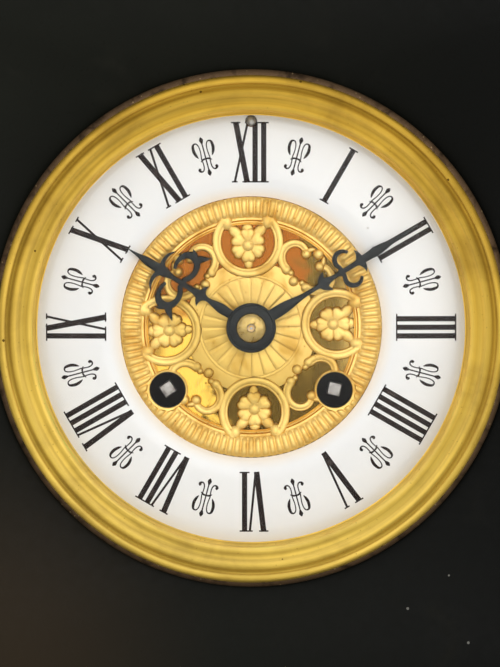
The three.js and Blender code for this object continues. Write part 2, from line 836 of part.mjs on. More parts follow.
// Hands. Shares of the hand's length: along it, and half its width there.
const minuteBladeShares = [
  [0.1, 0.03], [0.19, 0.029], [0.245, 0.024], [0.306, 0.013], [0.385, 0.011], [0.4, 0.044],
  [0.43, 0.022], [0.48, 0.011], [0.633, 0.012], [0.655, 0.058], [0.668, 0.058], [0.677, 0.016],
  [0.714, 0.021], [0.745, 0.025], [0.796, 0.02], [0.84, 0.013], [1, 0.002],
];
const hourBladeShares = [
  [0.14, 0.028], [0.24, 0.035], [0.285, 0.028], [0.347, 0.015], [0.39, 0.018], [0.403, 0.08],
  [0.43, 0.03], [0.49, 0.02], [0.56, 0.02], [0.63, 0.014], [0.68, 0.023], [0.7, 0.033],
  [0.708, 0.1], [0.722, 0.167], [0.745, 0.09], [0.77, 0.032], [0.84, 0.029], [0.868, 0.023],
  [0.91, 0.014], [1, 0.002],
];

function bladeShape(length, shares) {
  const right = shares.map(([along, half]) => new THREE.Vector2(half * length, along * length));
  const left = shares.map(([along, half]) => new THREE.Vector2(-half * length, along * length));
  return outlineOf([...right, ...left.reverse()]);
}

// Curls beside the blade: where they leave it, the middle of the curl along and beside, how far
// it reaches along and beside, the bearings of its ends, and half its width.
const minuteCurlShares = {
  root: 0.545, along: 0.582, beside: 0.0485, radius: 0.042, sideReach: 0.042, from: 225, to: 30,
  half: 0.0085,
};
const hourCurlShares = {
  root: 0.56, along: 0.611, beside: 0.108, radius: 0.0715, sideReach: 0.091, from: 238, to: -33,
  half: 0.016,
};

function curlShapes(length, { root, along, beside, radius, sideReach, from, to, half }) {
  return [-1, 1].map((side) => {
    const unitArc = arcPoints(new THREE.Vector2(), 1, degrees(from), degrees(to), 7);
    const points = [new THREE.Vector2(0, root), ...unitArc.map(({ x, y }) => (
      new THREE.Vector2(side * (beside + x * sideReach), along + y * radius)))];
    const widths = points.map((_, i) => half * length * (1 - (0.5 * i) / (points.length - 1)));
    return band(points.map((point) => point.multiplyScalar(length)), widths);
  });
}

function leafShapes(length) {
  const leafShares = [[0.257, 0.489], [0.175, 0.54], [0.18, 0.605], [0.238, 0.628], [0.215, 0.565]];
  return [-1, 1].map((side) => outlineOf(leafShares.map(([beside, along]) => (
    new THREE.Vector2(side * beside * length, along * length)))));
}

function handSolid(shapes, bossRadius, boreRadius, angle, front) {
  const back = front + handThickness;
  const boss = rod(bossRadius, front, back, 18);
  let hand = shapes.reduce((whole, shape) => whole.add(plate(shape, front, back)), boss);
  hand = hand.subtract(rod(boreRadius, front - cutOverrun, back + cutOverrun, 10));
  return hand.rotate([0, angle, 0]);
}

const dialCrown = dialBack - enamelThickness;
const hourHandBack = Math.min(dialCrown, giltFace - bandHeight) - handGap;
const hourHandFront = hourHandBack - handThickness;
const minuteHandBack = hourHandFront - handGap;
const minuteHandFront = minuteHandBack - handThickness;
addPiece('hour_hand', handSolid([
  bladeShape(hourHandLength, hourBladeShares),
  ...curlShapes(hourHandLength, hourCurlShares),
  ...leafShapes(hourHandLength),
], hourHandBossRadius, hourPipeRadius + seatGap, hourHandAngle, hourHandFront), bluedSteel);
addPiece('minute_hand', handSolid([
  bladeShape(minuteHandLength, minuteBladeShares),
  ...curlShapes(minuteHandLength, minuteCurlShares),
], minuteHandBossRadius, cannonPipeRadius + seatGap, minuteHandAngle, minuteHandFront), bluedSteel);

const washerBack = minuteHandFront - seatGap;
const washerFront = washerBack - washerHeight;
const washerShares = [[1, 0], [0.85, 0.65], [0.45, 1]];
addPiece('hand_washer', turned([
  ...washerShares.map(([out, up]) => [washerRadius * out, washerBack - washerHeight * up]),
  [centreTipRadius + seatGap, washerFront],
  [centreTipRadius + seatGap, washerBack],
], 12), brass);

// Where two circles about two centres cross, on the chosen side of the line between them.
function meetingPoint([ax, az], fromA, [bx, bz], fromB, side) {
  const dx = bx - ax;
  const dz = bz - az;
  const apart = Math.hypot(dx, dz);
  const along = (apart ** 2 + fromA ** 2 - fromB ** 2) / (2 * apart);
  const beside = side * Math.sqrt(fromA ** 2 - along ** 2);
  return [ax + (dx * along - dz * beside) / apart, az + (dz * along + dx * beside) / apart];
}

function stepFrom([x, z], distance, bearing) {
  const step = polar(distance, degrees(bearing));
  return [x + step.x, z + step.y];
}

const meshDistance = (teeth, leaves, module) => (module * (teeth + leaves)) / 2;

// The turn that a gear needs to be in mesh with a neighbour that already has its turn.
function meshTurn(from, fromTeeth, fromTurn, to, toTeeth) {
  const bearing = Math.atan2(to[0] - from[0], to[1] - from[1]);
  const count = ((bearing - fromTurn) * fromTeeth) / TAU;
  const ahead = Math.round(count) - count;
  return bearing + Math.PI - ((ahead - 0.5) * TAU) / toTeeth;
}

// Tooth heights in modules, outside and inside the pitch circle
const wheelTipShare = 0.7;
const wheelRootShare = 1.2;
const leafTipShare = 0.7;
const leafRootShare = 1.2;

function toothedPoints(teeth, tipRadius, rootRadius, turn, lean = 0) {
  const pitch = TAU / teeth;
  const points = [];
  for (let tooth = 0; tooth < teeth; tooth += 1) {
    const middle = turn + tooth * pitch;
    points.push(polar(rootRadius, middle - pitch / 2));
    points.push(polar(tipRadius, middle + lean * pitch));
  }
  return points;
}

function gearPoints(teeth, module, turn, tipShare, rootShare) {
  const pitchRadius = (teeth * module) / 2;
  return toothedPoints(teeth, pitchRadius + tipShare * module, pitchRadius - rootShare * module, turn);
}

const wheelPoints = (...gear) => gearPoints(...gear, wheelTipShare, wheelRootShare);
const leafPoints = (...gear) => gearPoints(...gear, leafTipShare, leafRootShare);

// Windows between a wheel's spokes
function crossings(count, hubRadius, rimRadius, turn) {
  const windows = [];
  for (let i = 0; i < count; i += 1) {
    const from = turn + (i * TAU) / count;
    const to = turn + ((i + 1) * TAU) / count;
    const outer = crossingWidth / (2 * rimRadius);
    const inner = crossingWidth / (2 * hubRadius);
    windows.push(new THREE.Path([
      polar(hubRadius, from + inner),
      polar(rimRadius, from + outer),
      polar(rimRadius, (from + to) / 2),
      polar(rimRadius, to - outer),
      polar(hubRadius, to - inner),
    ].reverse()));
  }
  return windows;
}

function spokedWheel({ teeth, module, turn, spokes, start, thickness = wheelThickness }) {
  const shape = outlineOf(wheelPoints(teeth, module, turn));
  const rimRadius = (teeth * module) / 2 - wheelRootShare * module - wheelRimWidth;
  if (spokes > 0) shape.holes.push(...crossings(spokes, wheelHubRadius, rimRadius, turn));
  return plate(shape, start, start + thickness);
}

function pinionSolid(leaves, module, turn, start, end) {
  return plate(outlineOf(leafPoints(leaves, module, turn)), start, end);
}

const layer = (depth) => frontPlateBack + depth;

// A stepped arbor with a pivot in each plate
function arborSolid(pivotEnd = backPlateBack, radius = arborRadius, pivot = pivotRadius,
  pivotStart = frontPlateFront) {
  const shoulderFront = frontPlateBack + shoulderGap;
  const shoulderBack = backPlateFront - shoulderGap;
  return turned([
    [0, pivotStart],
    [pivot, pivotStart],
    [pivot, shoulderFront],
    [radius, shoulderFront],
    [radius, shoulderBack],
    [pivot, shoulderBack],
    [pivot, pivotEnd],
    [0, pivotEnd],
  ], arborSides);
}

// A pinion that reaches past both sides of the wheel that drives it
function drivenPinion(leaves, module, turn, wheelLayer) {
  const start = Math.max(wheelLayer - pinionMargin, shoulderGap);
  return pinionSolid(leaves, module, turn, layer(start),
    layer(wheelLayer + wheelThickness + pinionMargin));
}

// Centres of the going train
const goingBarrelAt = [windingX, windingZ];
const centreAt = [0, 0];
const escapeAt = [0, escapeZ];
const palletAt = [0, palletArborZ];
const barrelDistance = meshDistance(barrelTeeth, barrelPinionLeaves, barrelModule);
const secondAt = meetingPoint(goingBarrelAt, barrelDistance, centreAt,
  meshDistance(secondTeeth, centreLeaves, secondModule), -1);
const thirdAt = meetingPoint(centreAt, meshDistance(centreTeeth, thirdLeaves, centreModule),
  escapeAt, meshDistance(thirdTeeth, escapeLeaves, thirdModule), 1);

// Turns at rest, passed on from the centre wheel so that every pair is in mesh
const centreTurn = 0;
const secondTurn = meshTurn(centreAt, centreLeaves, centreTurn, secondAt, secondTeeth);
const goingBarrelTurn = meshTurn(secondAt, barrelPinionLeaves, secondTurn, goingBarrelAt, barrelTeeth);
const thirdTurn = meshTurn(centreAt, centreTeeth, centreTurn, thirdAt, thirdLeaves);
const escapePinionTurn = meshTurn(thirdAt, thirdTeeth, thirdTurn, escapeAt, escapeLeaves);

function barrelSolid(turn) {
  const bore = barrelArborRadius + runningGap;
  const rootRadius = (barrelTeeth * barrelModule) / 2 - wheelRootShare * barrelModule;
  const gear = outlineOf(wheelPoints(barrelTeeth, barrelModule, turn));
  gear.holes.push(holePath(bore, 8));
  const capLip = wheelRimWidth / 2;
  const drum = turned([
    [bore / Math.cos(Math.PI / 8), layer(drumStart)],
    [rootRadius - capLip, layer(drumStart)],
    [drumRadius, layer(barrelToothStart + barrelRimThickness)],
    [drumRadius, layer(drumEnd)],
    [bore / Math.cos(Math.PI / 8), layer(drumEnd)],
  ], 20);
  const gearPlate = plate(gear, layer(barrelToothStart), layer(barrelToothStart + barrelRimThickness));
  return joined(gearPlate, drum);
}

const ratchetBack = frontPlateFront - ratchetGap;
const ratchetFront = ratchetBack - ratchetThickness;
const squareFront = dialPlateBack + windingSquareRecess;

// Winding arbor: the square under the dial, the ratchet in front of the plate, and the spring's core
function windingArborSolid() {
  const square = ringPoints(windingSquareWidth / Math.SQRT2, 4, 0, 0, degrees(58));
  const ratchet = toothedPoints(ratchetTeeth, ratchetRadius, ratchetRadius - ratchetToothDepth,
    0, 0.4);
  return joined(
    plate(outlineOf(square), squareFront, ratchetFront),
    plate(outlineOf(ratchet), ratchetFront, ratchetBack),
    turned([
      [0, ratchetBack - ratchetThickness / 2],
      [barrelArborRadius, ratchetBack - ratchetThickness / 2],
      [barrelArborRadius, layer(plateGap - shoulderGap)],
      [barrelArborRadius / 2, layer(plateGap - shoulderGap)],
      [barrelArborRadius / 2, backPlateBack],
      [0, backPlateBack],
    ], 8),
  );
}

const clickPivotDistance = clickLength + ratchetRadius * 0.6;
const clickNoseDistance = ratchetRadius + runningGap + clickWidth / 4;
const clickAt = ([x, z], side) => stepFrom([x, z], clickPivotDistance, side * clickBearing);

// A click lies just off the ratchet's teeth: a boss on its stud, and a nose along the rim
function clickSolid(side) {
  const back = ratchetBack;
  const front = ratchetFront;
  const nose = polar(clickNoseDistance, degrees(side * (clickBearing - clickNoseBearing)))
    .sub(polar(clickPivotDistance, degrees(side * clickBearing)));
  const start = new THREE.Vector2(0, 0);
  const arm = band([start, nose], [clickWidth / 2, clickWidth / 4]);
  return joined(plate(arm, front, back), rod(clickBossRadius, front, back, 10))
    .subtract(rod(studRadius + runningGap, front - cutOverrun, back + cutOverrun, 10));
}

// Going train
addPiece('going_barrel', barrelSolid(goingBarrelTurn), brass, ...goingBarrelAt);
addPiece('going_winding_arbor', windingArborSolid(), steel, ...goingBarrelAt);
addPiece('going_click', clickSolid(1), steel, ...clickAt(goingBarrelAt, 1));

addPiece('second_wheel', joined(
  arborSolid(),
  spokedWheel({
    teeth: secondTeeth, module: secondModule, turn: secondTurn, spokes: 0, start: layer(firstLayer),
  }),
  pinionSolid(barrelPinionLeaves, barrelModule, secondTurn,
    layer(firstLayer + wheelThickness / 2), layer(barrelPinionEnd)),
), brass, ...secondAt);

const centreTipFront = washerFront - centreTipReach;
const centrePivot = centreArborRadius;
addPiece('centre_wheel', joined(
  turned([
    [0, centreTipFront],
    [centreTipRadius, centreTipFront],
    [centreTipRadius, minuteHandFront],
    [centrePivot, minuteHandFront],
    [centrePivot, layer(shoulderGap)],
    [wheelHubRadius / 2, layer(shoulderGap)],
    [wheelHubRadius / 2, layer(plateGap - shoulderGap)],
    [pivotRadius, layer(plateGap - shoulderGap)],
    [pivotRadius, backPlateBack],
    [0, backPlateBack],
  ], 8),
  spokedWheel({
    teeth: centreTeeth, module: centreModule, turn: centreTurn, spokes: 4,
    start: layer(centreWheelLayer),
  }),
  drivenPinion(centreLeaves, secondModule, centreTurn, firstLayer),
), brass);

addPiece('third_wheel', joined(
  arborSolid(),
  spokedWheel({
    teeth: thirdTeeth, module: thirdModule, turn: thirdTurn, spokes: 0, start: layer(thirdWheelLayer),
  }),
  drivenPinion(thirdLeaves, centreModule, thirdTurn, centreWheelLayer),
), brass, ...thirdAt);

const escapePoints = toothedPoints(escapeTeeth, escapeRadius, escapeRadius - escapeToothDepth, 0, 0.3);
const escapeShape = outlineOf(escapePoints);
escapeShape.holes.push(...crossings(4, wheelHubRadius,
  escapeRadius - escapeToothDepth - wheelRimWidth * 0.6, 0));
addPiece('escape_wheel', joined(
  arborSolid(),
  plate(escapeShape, layer(escapeWheelLayer), layer(escapeWheelLayer + wheelThickness))
    .rotate([0, -0.3 * (360 / escapeTeeth), 0]),
  drivenPinion(escapeLeaves, thirdModule, escapePinionTurn, thirdWheelLayer),
), brass, ...escapeAt);

// Anchor: two pallets that point at the escape wheel's rim, half a tooth past a whole number of
// teeth apart, with the crutch behind the back plate on the same arbor.
const cockFront = backPlateBack + cockGap;
const cockBack = cockFront + cockThickness;
const pendulumY = cockFront + pendulumBehindCock;
const palletHalfSpan = (palletSpanTeeth * Math.PI) / escapeTeeth;
const palletTip = polar(escapeRadius + palletDrop, palletHalfSpan)
  .add(new THREE.Vector2(0, escapeZ - palletArborZ));
const palletAcross = polar(palletTipWidth / 2, palletHalfSpan + Math.PI / 2);
const anchorShares = [[0.3, -0.5], [1.08, 0.22], [1.24, 0.62]];
const anchorInnerShares = [[0.9, 0.6], [0.35, 0.2]];
const anchorPoint = ([out, down]) => new THREE.Vector2(palletTip.x * out, palletTip.y * down);
const anchorSide = [
  ...anchorShares.map(anchorPoint),
  palletTip.clone().add(palletAcross),
  palletTip.clone().sub(palletAcross),
  ...anchorInnerShares.map(anchorPoint),
];
const mirrored = (points) => points.map(({ x, y }) => new THREE.Vector2(-x, y)).reverse();
const crutchFront = backPlateBack + runningGap * 2;
const crutchBack = crutchFront + handThickness * 1.5;
const crutchFork = (side) => block(
  [side * (rodRadius + runningGap), side * (rodRadius + runningGap + crutchWidth / 2)]
    .sort((a, b) => a - b),
  [crutchFront, pendulumY + rodRadius], [-crutchLength, -crutchLength + crutchForkReach]);
addPiece('pallet_anchor', joined(
  turned([
    [0, frontPlateFront],
    [pivotRadius, frontPlateFront],
    [pivotRadius, layer(shoulderGap)],
    [arborRadius, layer(shoulderGap)],
    [arborRadius, cockFront - shoulderGap],
    [pivotRadius, cockFront - shoulderGap],
    [pivotRadius, cockBack],
    [0, cockBack],
  ], arborSides),
  plate(outlineOf([...anchorSide, ...mirrored(anchorSide)]), layer(escapeWheelLayer),
    layer(escapeWheelLayer + wheelThickness)),
  block([-crutchWidth / 2, crutchWidth / 2], [crutchFront, crutchBack], [-crutchLength, arborRadius]),
  block([-rodRadius - runningGap - crutchWidth / 2, rodRadius + runningGap + crutchWidth / 2],
    [crutchFront, crutchBack], [-crutchLength, -crutchLength + crutchForkReach]),
  crutchFork(-1),
  crutchFork(1),
), steel, ...palletAt);

// Motion work: the cannon drives the minute wheel, whose pinion drives the hour wheel
const motionDistance = meshDistance(minuteWheelTeeth, cannonLeaves, motionModule);
const minuteWheelAt = stepFrom(centreAt, motionDistance, minuteWheelBearing);
const minuteWheelTurn = meshTurn(centreAt, cannonLeaves, 0, minuteWheelAt, minuteWheelTeeth);
const hourWheelTurn = meshTurn(minuteWheelAt, minutePinionLeaves, minuteWheelTurn, centreAt,
  hourWheelTeeth);
const hourWheelFront = dialPlateBack + 2 * runningGap;
const hourWheelBack = hourWheelFront + motionThickness;
const minuteWheelFront = hourWheelBack + 2 * runningGap;
const minuteWheelBack = minuteWheelFront + motionThickness;
const cannonBack = frontPlateFront - runningGap;

function pipe(outer, inner, front, back, sides) {
  return turned([[inner / Math.cos(Math.PI / sides), front], [outer, front], [outer, back],
    [inner / Math.cos(Math.PI / sides), back]], sides);
}

const cannonBore = centreArborRadius + seatGap;
const cannonShape = outlineOf(leafPoints(cannonLeaves, motionModule, 0));
cannonShape.holes.push(holePath(cannonBore, 8));
addPiece('cannon_pinion', joined(
  pipe(cannonPipeRadius, cannonBore, minuteHandFront + seatGap, cannonBack, 8),
  plate(cannonShape, minuteWheelFront - runningGap, minuteWheelBack + runningGap),
), steel);

const minuteShape = outlineOf(wheelPoints(minuteWheelTeeth, motionModule, minuteWheelTurn));
minuteShape.holes.push(holePath(studRadius + pivotGap, 8));
const minuteLeafShape = outlineOf(leafPoints(minutePinionLeaves, hourModule, minuteWheelTurn));
minuteLeafShape.holes.push(holePath(studRadius + pivotGap, 8));
addPiece('minute_wheel', joined(
  plate(minuteShape, minuteWheelFront, minuteWheelBack),
  plate(minuteLeafShape, hourWheelFront - runningGap, minuteWheelFront + motionThickness / 2),
), brass, ...minuteWheelAt);

const hourBore = cannonPipeRadius + pivotGap;
const hourShape = outlineOf(wheelPoints(hourWheelTeeth, hourModule, hourWheelTurn));
hourShape.holes.push(holePath(hourBore, 10));
addPiece('hour_wheel', joined(
  plate(hourShape, hourWheelFront, hourWheelBack),
  pipe(hourPipeRadius, hourBore, hourHandFront + seatGap, hourWheelFront + motionThickness / 2, 10),
), brass);

// Centres of the striking train
const strikeBarrelAt = [-windingX, windingZ];
const strikeSecondAt = stepFrom(strikeBarrelAt, barrelDistance, strikeSecondBearing);
const pinWheelAt = stepFrom(strikeSecondAt,
  meshDistance(strikeSecondTeeth, pinWheelLeaves, strikeSecondModule), pinWheelBearing);
const lockingAt = stepFrom(pinWheelAt,
  meshDistance(pinWheelTeeth, lockingLeaves, pinWheelModule), lockingBearing);
const warningAt = stepFrom(lockingAt,
  meshDistance(lockingTeeth, warningLeaves, lockingModule), warningBearing);
const flyAt = stepFrom(warningAt, meshDistance(warningTeeth, flyLeaves, warningModule), flyBearing);
const strikeBarrelTurn = 0;
const strikeSecondTurn = meshTurn(strikeBarrelAt, barrelTeeth, strikeBarrelTurn, strikeSecondAt,
  barrelPinionLeaves);
const pinWheelTurn = meshTurn(strikeSecondAt, strikeSecondTeeth, strikeSecondTurn, pinWheelAt,
  pinWheelLeaves);
const lockingTurn = meshTurn(pinWheelAt, pinWheelTeeth, pinWheelTurn, lockingAt, lockingLeaves);
const warningTurn = meshTurn(lockingAt, lockingTeeth, lockingTurn, warningAt, warningLeaves);
const flyTurn = meshTurn(warningAt, warningTeeth, warningTurn, flyAt, flyLeaves);

addPiece('strike_barrel', barrelSolid(strikeBarrelTurn), brass, ...strikeBarrelAt);
addPiece('strike_winding_arbor', windingArborSolid(), steel, ...strikeBarrelAt);
addPiece('strike_click', clickSolid(-1), steel, ...clickAt(strikeBarrelAt, -1));

const countWheelFront = backPlateBack + strikeDiscGap;
const countWheelBack = countWheelFront + strikeDiscThickness;
addPiece('strike_second_wheel', joined(
  arborSolid(countWheelBack + shoulderGap),
  spokedWheel({
    teeth: strikeSecondTeeth, module: strikeSecondModule, turn: strikeSecondTurn, spokes: 0,
    start: layer(firstLayer),
  }),
  pinionSolid(barrelPinionLeaves, barrelModule, strikeSecondTurn,
    layer(firstLayer + wheelThickness / 2), layer(barrelPinionEnd)),
), brass, ...strikeSecondAt);

// Count wheel: a slot after each run of blows, one to twelve, each slot wide enough for the half hour
const blowsInTwelveHours = 90;
const slotBlows = 1.1;
const countPoints = [];
let blows = 0;
for (let hour = 1; hour <= 12; hour += 1) {
  const slotStart = (blows * TAU) / blowsInTwelveHours;
  const slotEnd = ((blows + slotBlows) * TAU) / blowsInTwelveHours;
  blows += hour + 1;
  const runEnd = (blows * TAU) / blowsInTwelveHours;
  const steps = Math.ceil(hour / 4);
  countPoints.push(polar(strikeDiscRadius - strikeDiscSlotDepth, slotStart));
  countPoints.push(polar(strikeDiscRadius - strikeDiscSlotDepth, slotEnd));
  for (let i = 0; i <= steps; i += 1) {
    countPoints.push(polar(strikeDiscRadius, slotEnd + ((runEnd - slotEnd) * i) / steps));
  }
}
const countShape = outlineOf(countPoints);
countShape.holes.push(holePath(pivotRadius + seatGap, 8));
addPiece('count_wheel', plate(countShape, countWheelFront, countWheelBack), brass, ...strikeSecondAt);

const strikePins = [];
for (let pin = 0; pin < strikePinCount; pin += 1) {
  const at = polar(strikePinOffset, (pin * TAU) / strikePinCount);
  strikePins.push(rod(strikePinRadius, layer(pinWheelLayer + wheelThickness / 2),
    layer(pinWheelLayer + wheelThickness + strikePinLength), 4, at.x, at.y));
}
addPiece('pin_wheel', joined(
  arborSolid(),
  spokedWheel({
    teeth: pinWheelTeeth, module: pinWheelModule, turn: pinWheelTurn, spokes: 0,
    start: layer(pinWheelLayer),
  }),
  drivenPinion(pinWheelLeaves, strikeSecondModule, pinWheelTurn, firstLayer),
  ...strikePins,
), brass, ...pinWheelAt);

addPiece('locking_wheel', joined(
  arborSolid(),
  spokedWheel({
    teeth: lockingTeeth, module: lockingModule, turn: lockingTurn, spokes: 0,
    start: layer(lockingWheelLayer),
  }),
  drivenPinion(lockingLeaves, pinWheelModule, lockingTurn, pinWheelLayer),
), brass, ...lockingAt);

addPiece('warning_wheel', joined(
  arborSolid(),
  spokedWheel({
    teeth: warningTeeth, module: warningModule, turn: warningTurn, spokes: 0,
    start: layer(warningWheelLayer),
  }),
  drivenPinion(warningLeaves, lockingModule, warningTurn, lockingWheelLayer),
), brass, ...warningAt);

addPiece('fly', joined(
  arborSolid(),
  drivenPinion(flyLeaves, warningModule, flyTurn, warningWheelLayer),
  block([-flyReach, flyReach], [layer(flyStart), layer(flyEnd)], [-flyThickness / 2, flyThickness / 2]),
), brass, ...flyAt);

// Back cock: a bridge on two feet, with a stem that carries the suspension and the regulator
const hangerBack = pendulumY + suspensionDepth / 2;
const cockShape = outlineOf([
  new THREE.Vector2(-cockHalfWidth, cockLowZ),
  new THREE.Vector2(cockHalfWidth, cockLowZ),
  new THREE.Vector2(cockHalfWidth, cockBarTopZ),
  new THREE.Vector2(cockStemHalfWidth, cockBarTopZ),
  new THREE.Vector2(cockStemHalfWidth, cockTopZ),
  new THREE.Vector2(-cockStemHalfWidth, cockTopZ),
  new THREE.Vector2(-cockStemHalfWidth, cockBarTopZ),
  new THREE.Vector2(-cockHalfWidth, cockBarTopZ),
]);
cockShape.holes.push(holePath(pivotRadius + pivotGap, 8, ...palletAt));
cockShape.holes.push(holePath(regulatorRadius + pivotGap, 8, 0, regulatorZ));
let backCock = joined(
  plate(cockShape, cockFront, cockBack),
  rod(cockFootRadius, backPlateBack + seatGap, cockFront + cockThickness / 2, 8, cockFootX, cockFootZ),
  rod(cockFootRadius, backPlateBack + seatGap, cockFront + cockThickness / 2, 8, -cockFootX, cockFootZ),
  block([-rodHeadWidth / 2, rodHeadWidth / 2], [cockFront + cockThickness / 2, hangerBack],
    [clampZ, clampZ + clampHeight]),
);
const screwY = cockBack + screwBehindCock;
backCock = backCock
  .subtract(block([-suspensionThickness / 2 - seatGap, suspensionThickness / 2 + seatGap],
    [pendulumY - suspensionDepth / 2 - seatGap, hangerBack + cutOverrun],
    [clampZ - cutOverrun, clampZ + clampHeight - seatGap * 4]))
  .subtract(post(screwRadius + seatGap, clampZ - cutOverrun, clampZ + clampHeight + cutOverrun, 8,
    0, screwY));
addPiece('back_cock', backCock, brass);

// Suspension: a leaf spring hung in the cock, gripped by chops that the regulator's screw slides
const chopsLow = palletArborZ;
addPiece('suspension_spring', block([-suspensionThickness / 2, suspensionThickness / 2],
  [pendulumY - suspensionDepth / 2 + seatGap, pendulumY + suspensionDepth / 2 - seatGap],
  [palletArborZ - springBelowBend, clampZ + clampHeight - seatGap * 6]), steel);
addPiece('suspension_block', block([-chopsWidth / 2, chopsWidth / 2],
  [cockBack + runningGap, hangerBack + rodRadius], [chopsLow, chopsLow + chopsHeight])
  .subtract(block([-suspensionSlit / 2, suspensionSlit / 2],
    [pendulumY - suspensionDepth / 2 - seatGap, hangerBack + rodRadius + cutOverrun],
    [chopsLow - cutOverrun, chopsLow + chopsHeight + cutOverrun]))
  .subtract(post(screwRadius + seatGap, chopsLow - cutOverrun, chopsLow + chopsHeight + cutOverrun, 8,
    0, screwY)), brass);

// Bevel gears between the regulator's arbor and the screw: toothed discs that narrow towards the
// point where their axes cross.
function bevelGeometry(turn) {
  const bevelModule = (2 * bevelRadius) / bevelTeeth;
  const outline = outlineOf(wheelPoints(bevelTeeth, bevelModule, turn));
  const geometry = new THREE.ExtrudeGeometry(outline, { depth: bevelWidth, bevelEnabled: false });
  const { position } = geometry.attributes;
  for (let i = 0; i < position.count; i += 1) {
    const narrowing = 1 - position.getZ(i) / bevelRadius;
    position.setXY(i, position.getX(i) * narrowing, position.getY(i) * narrowing);
  }
  return geometry;
}

const arborBevel = bevelGeometry(0).rotateX(-Math.PI / 2);
arborBevel.translate(0, screwY - bevelRadius, regulatorZ);
const regulatorEnd = screwY - bevelRadius + bevelWidth / 2;
const regulatorFront = dialCrown + enamelThickness / 2;
const regulatorSquare = ringPoints(regulatorSquareWidth / Math.SQRT2, 4, 0, regulatorZ);
addPiece('regulator_arbor', joined(
  plate(outlineOf(regulatorSquare), regulatorFront, dialPlateBack + cutOverrun),
  rod(regulatorRadius, dialPlateFront, regulatorEnd, 8, 0, regulatorZ),
  solidOf(arborBevel),
), steel);

const screwBevel = bevelGeometry(Math.PI / bevelTeeth);
screwBevel.translate(0, screwY, regulatorZ - bevelRadius);
addPiece('regulator_screw', joined(
  post(screwRadius, chopsLow + chopsHeight / 4, regulatorZ - bevelRadius + bevelWidth / 2, 8, 0, screwY),
  solidOf(screwBevel),
), steel);

// Pendulum
const headTop = palletArborZ - springBelowBend - runningGap;
const bobZ = palletArborZ - pendulumLength;
addPiece('pendulum_rod', joined(
  block([-rodHeadWidth / 2, rodHeadWidth / 2],
    [pendulumY - suspensionDepth / 2, pendulumY + suspensionDepth / 2], [headTop - rodHeadHeight, headTop]),
  post(rodRadius, bobZ + bobRadius / 2, headTop - rodHeadHeight / 2, 8, 0, pendulumY),
), brass);
const bobShares = [[0.6, 0.84], [1, 0.14]];
const bobProfile = bobShares.map(([out, up]) => [bobRadius * out, (bobThickness / 2) * up]);
addPiece('pendulum_bob', turned([
  [0, pendulumY - bobThickness / 2],
  ...bobProfile.map(([radius, half]) => [radius, pendulumY - half]),
  ...[...bobProfile].reverse().map(([radius, half]) => [radius, pendulumY + half]),
  [0, pendulumY + bobThickness / 2],
], 16).subtract(post(rodRadius + seatGap, bobRadius / 2 - seatGap, bobRadius + cutOverrun, 8,
  0, pendulumY)), brass, 0, bobZ);

// Bell on its stand
const bellShares = [[1, 0], [0.93, 0.55], [0.6, 0.94], [0.3, 1]];
const bellOuter = bellShares.map(([out, up]) => [bellRadius * out, bellStart + bellDepth * up]);
const bellInner = bellShares.map(([out, up]) => [bellRadius * out - bellWall,
  bellStart + (bellDepth - bellWall) * up]);
addPiece('bell', turned([
  ...bellOuter,
  [standPostRadius + seatGap, bellStart + bellDepth],
  [standPostRadius + seatGap, bellStart + bellDepth - bellWall],
  ...bellInner.reverse(),
], 20), bellMetal, 0, bellCentreZ);

const standArm = band([new THREE.Vector2(standFootX, standFootZ), new THREE.Vector2(0, bellCentreZ)],
  evenWidths(2, standWidth / 2));
addPiece('bell_stand', joined(
  rod(standWidth / 2, backPlateBack + seatGap, standLayer + standThickness, 10, standFootX, standFootZ),
  plate(standArm, standLayer, standLayer + standThickness),
  rod(standWidth / 2, standLayer, bellStart + bellDepth - bellWall - seatGap, 10, 0, bellCentreZ),
  rod(standPostRadius, standLayer, bellStart + bellDepth + seatGap + standWidth / 2, 8, 0, bellCentreZ),
), steel);

// Hammer: a tail among the lifting pins, and a bent stem that carries the head to the bell's rim
const hammerToPinWheel = Math.atan2(pinWheelAt[0] - hammerX, pinWheelAt[1] - hammerZ);
const hammerTail = band([new THREE.Vector2(0, 0), polar(hammerTailLength, hammerToPinWheel)],
  [hammerTailWidth / 2, hammerTailWidth / 4]);
const headAngle = degrees(-78);
const headAt = polar(bellRadius + hammerHeadRadius + runningGap * 2, headAngle)
  .add(new THREE.Vector2(-hammerX, bellCentreZ - hammerZ));
const hammerCollar = countWheelBack + runningGap;
const stemY = hammerCollar + hammerStemRadius * 1.5;
const headY = bellStart + hammerHeadLength * 0.1;
const stemCurve = new THREE.CatmullRomCurve3([
  new THREE.Vector3(0, stemY, 0),
  new THREE.Vector3(headAt.x * 0.1, stemY, headAt.y * 0.55),
  new THREE.Vector3(headAt.x * 0.55, stemY + hammerStemRadius, headAt.y * 1.15),
  new THREE.Vector3(headAt.x, (stemY + headY) / 2, headAt.y),
  new THREE.Vector3(headAt.x, headY, headAt.y),
]);
const stemSection = outlineOf(ringPoints(hammerStemRadius, 6));
const stem = solidOf(new THREE.ExtrudeGeometry(stemSection, {
  steps: 7, bevelEnabled: false, extrudePath: stemCurve,
}));
addPiece('hammer', joined(
  arborSolid(stemY + hammerStemRadius),
  plate(hammerTail, layer(pinWheelLayer + wheelThickness + runningGap),
    layer(pinWheelLayer + wheelThickness + strikePinLength)),
  rod(hammerStemRadius * 2, hammerCollar, stemY + hammerStemRadius * 1.5, 8),
  stem,
  rod(hammerHeadRadius, headY - hammerHeadLength / 3, headY + (hammerHeadLength * 2) / 3, 10,
    headAt.x, headAt.y),
), steel, hammerX, hammerZ);

